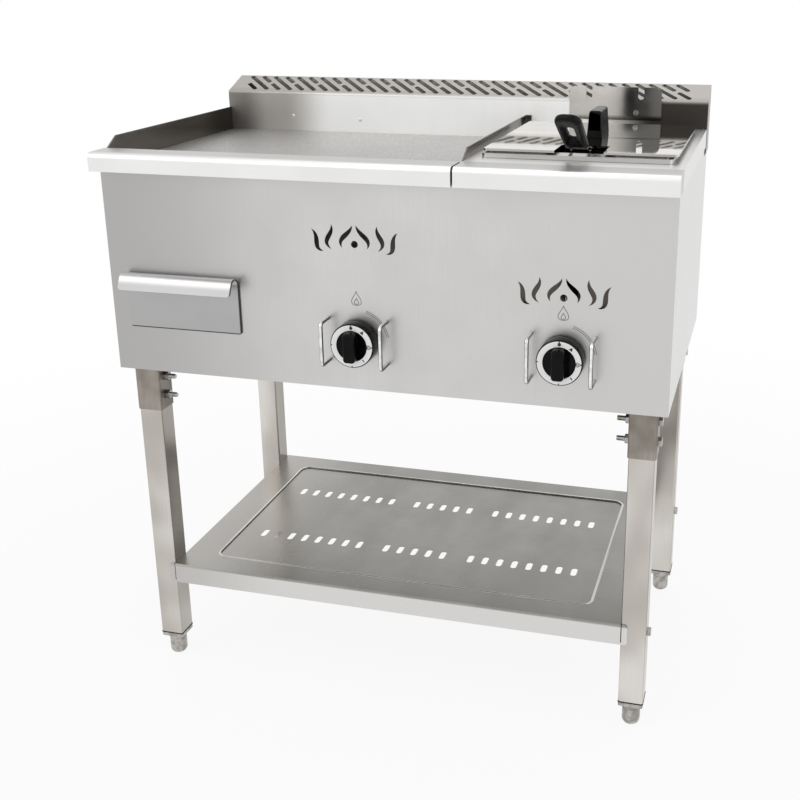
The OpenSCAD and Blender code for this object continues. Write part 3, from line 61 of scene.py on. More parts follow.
# Corners of a new piece that lie nearer than this, in metres, become one.
PIECE_WELD = 1e-6
SIDES = ("left", "right")
ROWS = ("front", "rear")
CONTROLS = ("griddle", "fryer")


# Colour and number helpers

def linear(code):
    """Linear RGBA of an sRGB hex colour: each channel is undone with the sRGB curve."""
    channels = [int(code[i:i + 2], 16) / 255 for i in (1, 3, 5)]
    return [c / 12.92 if c <= 0.04045 else ((c + 0.055) / 1.055) ** 2.4 for c in channels] + [1.0]


def node_box(node):
    """Lowest and highest corner of a CAD node as arrays, in metres."""
    low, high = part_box(node)
    return np.array(low), np.array(high)


def node_centre(node):
    """Middle of a CAD node's box."""
    low, high = node_box(node)
    return (low + high) / 2


def unit(vectors):
    """Vectors divided by their lengths."""
    vectors = np.asarray(vectors, float)
    return vectors / np.linalg.norm(vectors, axis=-1, keepdims=True)


# Surfaces on grids

def cells(rows, columns, wrap_rows, wrap_columns):
    """Corner numbers of a grid's cells; a wrapped direction joins its last line to its first."""
    r = np.arange(rows if wrap_rows else rows - 1)[:, None]
    c = np.arange(columns if wrap_columns else columns - 1)[None, :]
    down, across = (r + 1) % rows, (c + 1) % columns
    corners = (r * columns + c, down * columns + c, down * columns + across, r * columns + across)
    return np.stack(corners, -1).reshape(-1, 4)


def place(points, origin, right=(1, 0, 0), up=(0, 0, 1)):
    """Points in millimetres on the axes right, up and right × up, moved to the origin in metres."""
    right, up = unit(right), unit(up)
    axes = np.stack([right, up, np.cross(right, up)])
    return np.asarray(origin) + MM * np.asarray(points) @ axes


def revolve(profile, sides=64, closed=False):
    """Profile points (radius, height) turned about the height axis: (r cos a, r sin a, h) for each angle a."""
    profile = np.asarray(profile, float)
    angle = np.linspace(0, TURN, sides, endpoint=False)
    radius, height = profile[:, :1], profile[:, 1:]
    grid = np.stack([radius * np.cos(angle), radius * np.sin(angle),
                     np.broadcast_to(height, (len(profile), sides))], -1)
    return grid, closed, True


def tube(path, radius, sides, normal, closed=False):
    """A circle carried along a plane path: each ring is the path's point plus the radius times (cos a × the
    plane's normal + sin a × the direction across the path). An open tube is closed by its end points."""
    path = np.asarray(path, float)
    step = np.roll(path, -1, 0) - np.roll(path, 1, 0) if closed else np.gradient(path, axis=0)
    across = np.cross(unit(step), unit(normal))
    angle = np.linspace(0, TURN, sides, endpoint=False)[None, :, None]
    grid = path[:, None] + radius * (np.cos(angle) * unit(normal) + np.sin(angle) * across[:, None])
    if not closed:
        ends = [np.repeat(path[i][None, None], sides, 1) for i in (0, -1)]
        grid = np.concatenate([ends[0], grid, ends[1]])
    return grid, closed, True


def rounded_path(points, radius, steps=6):
    """A path with each corner replaced by the quadratic curve (1-t)²a + 2t(1-t)p + t²b, where a and b lie one
    radius before and after the corner p."""
    path = np.asarray(points, float)
    corner = path[1:-1]
    before = corner + radius * unit(path[:-2] - corner)
    after = corner + radius * unit(path[2:] - corner)
    t = np.linspace(0, 1, steps + 1)[None, :, None]
    curve = (1 - t) ** 2 * before[:, None] + 2 * t * (1 - t) * corner[:, None] + t ** 2 * after[:, None]
    return np.concatenate([path[:1], curve.reshape(-1, path.shape[1]), path[-1:]])


def rounded_rectangle(width, length, radius, steps=8):
    """Outline of a rectangle with round corners: four corner centres plus the radius times (cosine, sine)."""
    radius = np.minimum(radius, min(width, length) / 2)
    angle = np.linspace(0, TURN / 4, steps)[None, :] + (np.arange(4) * TURN / 4)[:, None]
    side = np.array([[1, 1], [-1, 1], [-1, -1], [1, -1]])[:, None, :]
    centre = side * (np.array([width, length]) / 2 - radius)
    return (centre + radius * np.stack([np.cos(angle), np.sin(angle)], -1)).reshape(-1, 2)


def boss(width, length, radius, profile, steps=8):
    """A rounded rectangle carried up a profile of (inset, height) rows, so that each row is the outline drawn in
    by its inset at its height."""
    rows = [np.c_[rounded_rectangle(width - 2 * inset, length - 2 * inset, max(radius - inset, 0.01), steps),
                  np.full(4 * steps, height)] for inset, height in profile]
    return np.stack(rows), False, True


def hexagon_radius(angle, apothem):
    """Distance of a hexagon's edge from its centre: the apothem over the cosine of the angle to the flat."""
    sector = TURN / 6
    return apothem / np.cos((angle + sector / 2) % sector - sector / 2)


def hexagon(apothem, height, bore=0.0, sides=48):
    """Hexagon bar whose corners are cut by a cone of 30 degrees at the outer end, or at both ends of a bored nut.
    Each row holds (radius, height) as functions of the angle, from the inner to the outer end."""
    cone, face_share, seat_share, seat_step = math.radians(30), 0.93, 0.98, 0.15
    angle = np.linspace(0, TURN, sides, endpoint=False)
    edge = hexagon_radius(angle, apothem)
    face = np.full(sides, face_share * apothem)
    drop = (edge - face) * math.tan(cone)
    inner = np.full(sides, max(bore, 1e-4))
    flat = np.zeros(sides)
    seat, rise = (face, drop) if bore else (edge * seat_share, flat + seat_step)
    rows = [(inner, flat), (seat, flat), (edge, rise), (edge, height - drop), (face, flat + height),
            (inner, flat + height)]
    radius, level = (np.stack(part) for part in zip(*rows))
    return np.stack([radius * np.cos(angle), radius * np.sin(angle), level], -1), bool(bore), True


def threaded_rod(radius, length, pitch, depth, start=0.0, sides=20):
    """Rod whose radius falls and rises in a screw line: r = radius - depth × |2 frac(z / pitch - a / turn) - 1|.
    The last turn tapers to a point chamfer."""
    rings_per_turn, point = 4, 1.2 * depth
    rows = int(length / pitch * rings_per_turn)
    z = np.linspace(0, length, rows)[:, None]
    angle = np.linspace(0, TURN, sides, endpoint=False)[None, :]
    wave = np.abs(2 * ((z / pitch - angle / TURN) % 1) - 1)
    fade = np.clip((z - start) / pitch, 0, 1) * np.clip((length - z) / pitch, 0, 1)
    r = radius - depth * wave * fade - point * np.clip(1 - (length - z) / pitch, 0, 1)
    grid = np.stack([r * np.cos(angle), r * np.sin(angle), np.broadcast_to(z, r.shape)], -1)
    ends = [np.broadcast_to([0, 0, level], (1, sides, 3)) for level in (0, length)]
    return np.concatenate([ends[0], grid, ends[1]]), False, True


def patch(outline, thickness):
    """Thin printed shape: its centre and outline at the back, then its outline and centre at the front."""
    outline = np.asarray(outline, float)
    middle = np.broadcast_to(outline.mean(0), outline.shape)
    rows = [np.c_[line, np.full(len(outline), level)]
            for line, level in ((middle, 0), (outline, 0), (outline, thickness), (middle, thickness))]
    return np.stack(rows), False, True


def band(line, width, thickness, closed=False):
    """Thin printed stroke: the line moved half its width to both sides, at the back and at the front."""
    line = np.asarray(line, float)
    step = np.roll(line, -1, 0) - np.roll(line, 1, 0) if closed else np.gradient(line, axis=0)
    across = unit(step)[:, ::-1] * [-1, 1] * width / 2
    corners = [np.c_[line + s * across, np.full(len(line), level)]
               for s, level in ((-1, 0), (-1, thickness), (1, thickness), (1, 0))]
    grid = np.stack(corners, 1)
    if not closed:
        ends = [np.repeat(grid[i].mean(0)[None, None], 4, 1) for i in (0, -1)]
        grid = np.concatenate([ends[0], grid, ends[1]])
    return grid, closed, True


def arc(radius, first, last, count):
    """Points (r sin a, r cos a), where the angle a runs in degrees clockwise from the top."""
    angle = np.radians(np.linspace(first, last, count))
    return np.c_[radius * np.sin(angle), radius * np.cos(angle)]


def rectangle(width, height):
    """The four corners of a rectangle round the origin: half the width and half the height to each side."""
    return np.array([(-1, -1), (1, -1), (1, 1), (-1, 1)]) * [width / 2, height / 2]


def moved(shell, **where):
    """A shell with its points placed in the station's frame."""
    grid, wrap_rows, wrap_columns = shell
    return place(grid, **where), wrap_rows, wrap_columns


def close_and_shade(mesh, angle):
    """Merges doubles, turns the faces outwards, and shades smooth up to an edge angle in degrees."""
    shape = bmesh.new()
    shape.from_mesh(mesh)
    bmesh.ops.remove_doubles(shape, verts=shape.verts, dist=PIECE_WELD)
    bmesh.ops.dissolve_degenerate(shape, edges=shape.edges, dist=PIECE_WELD / 4)
    bmesh.ops.recalc_face_normals(shape, faces=shape.faces)
    shape.to_mesh(mesh)
    shape.free()
    mesh.shade_smooth()
    mesh.set_sharp_from_angle(angle=math.radians(angle))


def add_piece(name, shells, body, finish, stands_for=(), angle=35.0):
    """Makes one object from shells of grid points, and hangs it on its CAD body. The angle between two faces, in
    degrees, is where the shading turns sharp."""
    points, faces, count = [], [], 0
    for grid, wrap_rows, wrap_columns in shells:
        rows, columns = grid.shape[:2]
        points.append(grid.reshape(-1, 3))
        faces.append(cells(rows, columns, wrap_rows, wrap_columns) + count)
        count += rows * columns
    mesh = bpy.data.meshes.new(name)
    mesh.from_pydata(np.concatenate(points).tolist(), [], np.concatenate(faces).tolist())
    close_and_shade(mesh, angle)
    mesh.materials.append(material_named(finish))
    piece = bpy.data.objects.new(name, mesh)
    bpy.context.scene.collection.objects.link(piece)
    if stands_for:
        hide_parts(*stands_for)
    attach(piece, body)


# CAD nodes: the distance to weld over in metres, and the angles to smooth, flatten and round at

CAD_WELD, NORMAL_WEIGHT = 2e-6, 80
SMOOTH_BELOW, FLAT_BELOW, ROUND_ABOVE = (math.radians(angle) for angle in (28, 0.5, 40))


def shading_group():
    """Node group that welds a CAD node's loose triangles and shades them smooth between sharp edges."""
    name = "Weld and shade"
    if name in bpy.data.node_groups:
        return bpy.data.node_groups[name]
    group = bpy.data.node_groups.new(name, "GeometryNodeTree")
    group.interface.new_socket("Geometry", in_out="INPUT", socket_type="NodeSocketGeometry")
    group.interface.new_socket("Geometry", in_out="OUTPUT", socket_type="NodeSocketGeometry")
    start = add_node(group, "NodeGroupInput")
    weld = add_node(group, "GeometryNodeMergeByDistance", {"Geometry": start.outputs[0], "Distance": CAD_WELD})
    faces = add_node(group, "GeometryNodeSetShadeSmooth", {"Geometry": weld.outputs[0], "Shade Smooth": True})
    edge = add_node(group, "GeometryNodeInputMeshEdgeAngle")
    sharp = add_node(group, "FunctionNodeCompare", {0: edge.outputs[0], 1: SMOOTH_BELOW},
                     operation="GREATER_THAN")
    edges = add_node(group, "GeometryNodeSetShadeSmooth",
                     {"Geometry": faces.outputs[0], "Selection": sharp.outputs[0], "Shade Smooth": False},
                     domain="EDGE")
    add_node(group, "NodeGroupOutput", {0: edges.outputs[0]})
    return group


def finish_node(node, finish, fold=0.0):
    """Gives a CAD node its material and soft shading, and where fold is set, edges rounded to that many mm."""
    thing = NODES[node]
    thing.data.materials.clear()
    thing.data.materials.append(material_named(finish))
    thing.modifiers.new("Weld and shade", "NODES").node_group = shading_group()
    if fold:
        flat = thing.modifiers.new("Flatten", "DECIMATE")
        flat.decimate_type = "DISSOLVE"
        flat.angle_limit = FLAT_BELOW
        edge = thing.modifiers.new("Fold radius", "BEVEL")
        edge.width = fold * MM
        edge.segments = 2
        edge.limit_method = "ANGLE"
        edge.angle_limit = ROUND_ABOVE
        edge.use_clamp_overlap = False
        edge.harden_normals = False
    even = thing.modifiers.new("Even normals", "WEIGHTED_NORMAL")
    even.keep_sharp = True
    even.weight = NORMAL_WEIGHT


# Places from the frame: the panel's front face in metres, and the others in mm

FACE_Y = node_box("front_panel")[0][1]
PANEL_FACE = FACE_Y / MM
# Rear of the nose, where the flat top begins.
NOSE_REAR = (PANEL_FACE - 27, PANEL_FACE - 12)
REAR_FACE = node_box("rear_panel")[1][1] / MM
REAR_INSIDE, REAR_OUTSIDE = REAR_FACE - 1.2, REAR_FACE - 0.3
# Height at which the backsplash bends back into its slanted face.
FLUE_BEND, FLUE_FACE = 908.5, node_box("backsplash")[0][1] / MM
DRAWER_LOW = node_box("drawer_front")[0][2] / MM
DRAWER_RIGHT, LIP_TOP = node_box("drawer_front")[1][0] / MM, node_box("drawer_front")[1][2] / MM
SHELF_TOP = node_box("shelf")[1][2] / MM


# Material helpers

def add_node(tree, kind, inputs=None, **settings):
    """Adds one node; inputs gives each socket, by name or number, its value or the output that feeds it."""
    node = tree.nodes.new(kind)
    for key, value in settings.items():
        setattr(node, key, value)
    for key, value in (inputs or {}).items():
        if isinstance(value, bpy.types.NodeSocket):
            tree.links.new(value, node.inputs[key])
        else:
            node.inputs[key].default_value = value
    return node


def material_named(name):
    """The material of that name, made on first use by the recipe that FINISHES holds for it."""
    if name not in bpy.data.materials:
        recipe, settings = FINISHES[name]
        material = bpy.data.materials.new(name)
        material.use_nodes = True
        material.node_tree.nodes.clear()
        shader = recipe(material.node_tree, **settings)
        add_node(material.node_tree, "ShaderNodeOutputMaterial", {"Surface": shader.outputs[0]})
    return bpy.data.materials[name]


def fractions(tree, size, stretch=(1, 1, 1), detail=3.0, low=0.35, high=0.65):
    """Noise with spots of the given size in mm, stretched along the axes, spread over 0 to 1."""
    where = add_node(tree, "ShaderNodeTexCoord")
    scale = tuple(1 / (MM * size * s) for s in stretch)
    mapped = add_node(tree, "ShaderNodeMapping", {"Vector": where.outputs["Object"], "Scale": scale})
    noise = add_node(tree, "ShaderNodeTexNoise",
                     {"Vector": mapped.outputs[0], "Scale": 1.0, "Detail": detail, "Roughness": 0.55})
    return add_node(tree, "ShaderNodeMapRange", {"Value": noise.outputs[0], "From Min": low, "From Max": high},
                    interpolation_type="SMOOTHSTEP").outputs[0]


def along(tree, axis, start, end):
    """A fraction that rises smoothly from 0 at start to 1 at end, two places in mm on one of the axes."""
    where = add_node(tree, "ShaderNodeTexCoord")
    parts = add_node(tree, "ShaderNodeSeparateXYZ", {0: where.outputs["Object"]})
    low, high = min(start, end) * MM, max(start, end) * MM
    ends = (0.0, 1.0) if start < end else (1.0, 0.0)
    return add_node(tree, "ShaderNodeMapRange",
                    {"Value": parts.outputs["XYZ".index(axis)], "From Min": low, "From Max": high,
                     "To Min": ends[0], "To Max": ends[1]}, interpolation_type="SMOOTHSTEP").outputs[0]


def tones(tree, base, changes):
    """A colour that changes along the sheet: each change is (axis, start, end, colour), with places in mm. A pair
    of a colour and its own changes may stand for the colour."""
    for axis, start, end, tone in changes:
        other = tones(tree, *tone) if isinstance(tone, tuple) else tone
        base = blend_colours(tree, along(tree, axis, start, end), base, other)
    return base


def colour(value):
    """A colour from its hex value, from the name of a colour that a user can change, or from an output."""
    if not isinstance(value, str):
        return value
    return linear(value) if value.startswith("#") else getattr(bpy.context.scene.station_colours, value)


def blend_colours(tree, factor, first, second):
    """Mix of two colours."""
    pick = [colour(c) for c in (first, second)]
    return add_node(tree, "ShaderNodeMix", {0: factor, 6: pick[0], 7: pick[1]}, data_type="RGBA").outputs[2]


def spread(tree, factor, low, high):
    """A fraction carried to the range from low to high."""
    return add_node(tree, "ShaderNodeMapRange", {"Value": factor, "To Min": low, "To Max": high}).outputs[0]


def relief(tree, height, depth, strength=0.5):
    """Bump of a height pattern, its depth in mm."""
    return add_node(tree, "ShaderNodeBump",
                    {"Height": height, "Distance": depth * MM, "Strength": strength}).outputs[0]


def sideways(tree):
    """A fraction that is 1 on faces turned to the left or right, and 0 on the others."""
    where = add_node(tree, "ShaderNodeTexCoord")
    parts = add_node(tree, "ShaderNodeSeparateXYZ", {0: where.outputs["Normal"]})
    size = add_node(tree, "ShaderNodeMath", {0: parts.outputs[0]}, operation="ABSOLUTE")
    return add_node(tree, "ShaderNodeMapRange",
                    {"Value": size.outputs[0], "From Min": 0.5, "From Max": 0.9}).outputs[0]


def brushed_metal(tree, tone, shade, rough, grain, grain_mm=0.9, cloud_mm=120, depth=0.006, changes=(),
                  stretch=(1, 1, 1), sharp=0.3, sides=None, line=0.5):
    """Sheet or tube rubbed with a belt: fine lines along one axis in tone and relief, and clouds left by wiping
    that change the tone and the gloss; where the clouds are large and strong, as on the legs and sleeves, they
    paint reflections. The real lines are about 0.2 mm wide; they are drawn coarser, so that they show. A smaller
    sharp gives the clouds harder edges, line says how far the lines darken, and sides is the colour of painted
    shade on the faces turned to the left and right."""
    lines = fractions(tree, grain_mm, grain, low=0.2, high=0.8)
    clouds = fractions(tree, cloud_mm, stretch, detail=2.0, low=0.5 - sharp, high=0.5 + sharp)
    worn = blend_colours(tree, clouds, shade, tone)
    # Painted shade: faces turned to the left or right are darkened towards the sides colour.
    if sides:
        dull = add_node(tree, "ShaderNodeMath", {0: sideways(tree), 1: spread(tree, clouds, 1, 0.4)},
                        operation="MULTIPLY")
        worn = blend_colours(tree, dull.outputs[0], worn, sides)
    lined = blend_colours(tree, spread(tree, lines, 0.0, line), worn, shade)
    return add_node(tree, "ShaderNodeBsdfPrincipled", {
        "Base Color": tones(tree, lined, changes), "Metallic": 1.0,
        "Roughness": spread(tree, clouds, rough - 0.03, rough + 0.03),
        "Normal": relief(tree, lines, depth, strength=0.25)})


def ground_plate(tree, tone, shade, rough):
    """Cooking plate ground on its face: short swirls from the wheel, speckles of clean steel and a faint heat
    shadow. The eye sees a mottled, silky grey. The real swirls are finer than 1 mm; they are drawn coarser, so
    that they show."""
    speckle_mm, swirl_mm, wave_turns = 2.2, 3.307, 20
    speckle = fractions(tree, speckle_mm, detail=5.0, low=0.38, high=0.68)
    where = add_node(tree, "ShaderNodeTexCoord")
    swirls = add_node(tree, "ShaderNodeTexWave",
                      {"Vector": where.outputs["Object"], "Scale": TURN / wave_turns / (swirl_mm * MM),
                       "Distortion": 14.0, "Detail": 3.0, "Detail Scale": 1.6, "Detail Roughness": 0.6})
    clouds = fractions(tree, 130, detail=2.0)
    bright = add_node(tree, "ShaderNodeMath", {0: speckle, 1: swirls.outputs["Fac"]}, operation="MULTIPLY")
    mottled = blend_colours(tree, spread(tree, bright.outputs[0], 0.1, 1), shade, tone)
    heated = blend_colours(tree, spread(tree, clouds, 0.0, 0.35), mottled, shade)
    return add_node(tree, "ShaderNodeBsdfPrincipled", {
        "Base Color": heated, "Metallic": 1.0, "Roughness": spread(tree, speckle, rough + 0.06, rough - 0.06),
        "Normal": relief(tree, speckle, 0.06, strength=0.4)})


def polished_metal(tree, tone, shade, rough, streak=(1, 1, 1), haze_mm=60, dull=0.04, changes=(), sides=None):
    """Buffed steel: nearly a mirror, with faint wiping streaks and finger haze that dull it in places by the
    roughness in dull. Sides is the colour of a painted reflection on the faces turned to the left and right."""
    haze = fractions(tree, haze_mm, streak, low=0.3, high=0.8)
    fine = fractions(tree, 3.5, (6, 1, 1), detail=2.0, low=0.2, high=0.8)
    wiped = blend_colours(tree, haze, tone, shade)
    # Painted reflection: faces turned to the left or right take the sides colour.
    if sides:
        wiped = blend_colours(tree, sideways(tree), wiped, sides)
    return add_node(tree, "ShaderNodeBsdfPrincipled", {
        "Base Color": tones(tree, wiped, changes), "Metallic": 1.0,
        "Roughness": spread(tree, haze, rough, rough + dull), "Normal": relief(tree, fine, 0.002, strength=0.1)})


def zinc_plating(tree, tone, shade, rough):
    """Zinc-plated fastener: bluish silver with yellowish patches and a fine crystal bloom."""
    patches = fractions(tree, 7, detail=2.0)
    bloom = fractions(tree, 0.8)
    return add_node(tree, "ShaderNodeBsdfPrincipled", {
        "Base Color": blend_colours(tree, patches, tone, shade), "Metallic": 1.0,
        "Roughness": spread(tree, bloom, rough - 0.06, rough + 0.08),
        "Normal": relief(tree, bloom, 0.01, strength=0.3)})


def mill_sheet(tree, tone, shade, rough):
    """Plain sheet behind the panels: rolled, with the large angular spangles of a zinc coat."""
    spangle_mm = 9
    where = add_node(tree, "ShaderNodeTexCoord")
    spangle = add_node(tree, "ShaderNodeTexVoronoi",
                       {"Vector": where.outputs["Object"], "Scale": 1 / (spangle_mm * MM)})
    grey = add_node(tree, "ShaderNodeRGBToBW", {"Color": spangle.outputs["Color"]})
    return add_node(tree, "ShaderNodeBsdfPrincipled", {
        "Base Color": blend_colours(tree, grey.outputs[0], shade, tone), "Metallic": 1.0,
        "Roughness": spread(tree, grey.outputs[0], rough - 0.08, rough + 0.08)})


def turned_metal(tree, tone, shade, rough, grain):
    """Turned or drawn part: fine rings, or draw lines along one axis, with a soft change of tone. The real rings
    are about 0.1 mm wide; they are drawn coarser, so that they show."""
    ring_mm = 0.9
    rings = fractions(tree, ring_mm, grain, low=0.3, high=0.7)
    tarnish = fractions(tree, 12)
    return add_node(tree, "ShaderNodeBsdfPrincipled", {
        "Base Color": blend_colours(tree, tarnish, tone, shade), "Metallic": 1.0,
        "Roughness": spread(tree, tarnish, rough - 0.04, rough + 0.1),
        "Normal": relief(tree, rings, 0.015, strength=0.3)})


def heat_tinted(tree, tone, shade, straw, blue):
    """Burner tube after some hours of flame: grey oxide with straw and blue bands that wander along it."""
    bands = fractions(tree, 45, detail=2.0, low=0.3, high=0.7)
    scale = fractions(tree, 2.5, detail=4.0)
    tint = blend_colours(tree, bands, straw, blue)
    oxide = blend_colours(tree, scale, shade, tone)
    return add_node(tree, "ShaderNodeBsdfPrincipled", {
        "Base Color": blend_colours(tree, spread(tree, bands, 0.15, 0.6), oxide, tint), "Metallic": 0.9,
        "Roughness": spread(tree, scale, 0.42, 0.62), "Normal": relief(tree, scale, 0.03, strength=0.4)})


def moulded_plastic(tree, tone, shade, rough, grain_mm, depth, gloss):
    """Moulded plastic: one deep colour, a skin of fine spark-eroded grain, and gloss that varies where hands
    have rubbed it. The real grain is about 0.1 mm; it is drawn coarser, so that it shows."""
    skin = fractions(tree, grain_mm, detail=2.0, low=0.3, high=0.7)
    rubbed = fractions(tree, 18, detail=2.0)
    return add_node(tree, "ShaderNodeBsdfPrincipled", {
        "Base Color": blend_colours(tree, rubbed, tone, shade), "IOR": 1.52, "Specular IOR Level": gloss,
        "Roughness": spread(tree, rubbed, rough - 0.04, rough + 0.04),
        "Normal": relief(tree, skin, depth, strength=0.3)})


def printed_ink(tree, tone, shade, rough):
    """Screen-printed or pad-printed ink: flat colour with the slight mottle of a thin film."""
    film = fractions(tree, 0.9, detail=2.0)
    return add_node(tree, "ShaderNodeBsdfPrincipled", {
        "Base Color": blend_colours(tree, film, tone, shade), "IOR": 1.5,
        "Roughness": spread(tree, film, rough - 0.04, rough + 0.04),
        "Normal": relief(tree, film, 0.004, strength=0.3)})


def soft_rubber(tree, tone, shade, rough):
    """Cut rubber gasket: matt, with dust in its pores."""
    pores = fractions(tree, 0.7, detail=4.0)
    return add_node(tree, "ShaderNodeBsdfPrincipled", {
        "Base Color": blend_colours(tree, pores, tone, shade), "IOR": 1.5,
        "Roughness": spread(tree, pores, rough - 0.08, rough + 0.08), "Normal": relief(tree, pores, 0.05)})


def pale_floor(tree, near, far, faint):
    """Painted studio floor: matt within near metres of the object, plain white beyond far, so that no horizon
    shows. The camera and glossy rays see it white by at least the share faint, as an exposed white sweep shows
    its shadow faintly."""
    where = add_node(tree, "ShaderNodeTexCoord")
    distance = add_node(tree, "ShaderNodeVectorMath", {0: where.outputs["Object"]}, operation="LENGTH")
    path = add_node(tree, "ShaderNodeLightPath")
    seen = add_node(tree, "ShaderNodeMath", {0: path.outputs["Is Camera Ray"], 1: path.outputs["Is Glossy Ray"]},
                    operation="MAXIMUM")
    least = add_node(tree, "ShaderNodeMath", {0: seen.outputs[0], 1: faint}, operation="MULTIPLY")
    fade = add_node(tree, "ShaderNodeMapRange",
                    {"Value": distance.outputs["Value"], "From Min": near, "From Max": far},
                    interpolation_type="SMOOTHSTEP")
    share = add_node(tree, "ShaderNodeMapRange",
                     {"Value": fade.outputs[0], "To Min": least.outputs[0], "To Max": 1.0})
    matt = add_node(tree, "ShaderNodeBsdfDiffuse", {"Color": (0.93, 0.93, 0.93, 1)})
    white = add_node(tree, "ShaderNodeEmission", {"Color": (1, 1, 1, 1), "Strength": 1.0})
    return add_node(tree, "ShaderNodeMixShader", {0: share.outputs[0], 1: matt.outputs[0], 2: white.outputs[0]})


# Finishes: the recipe and the settings of each. A change is (axis, start, end, colour), with places in mm

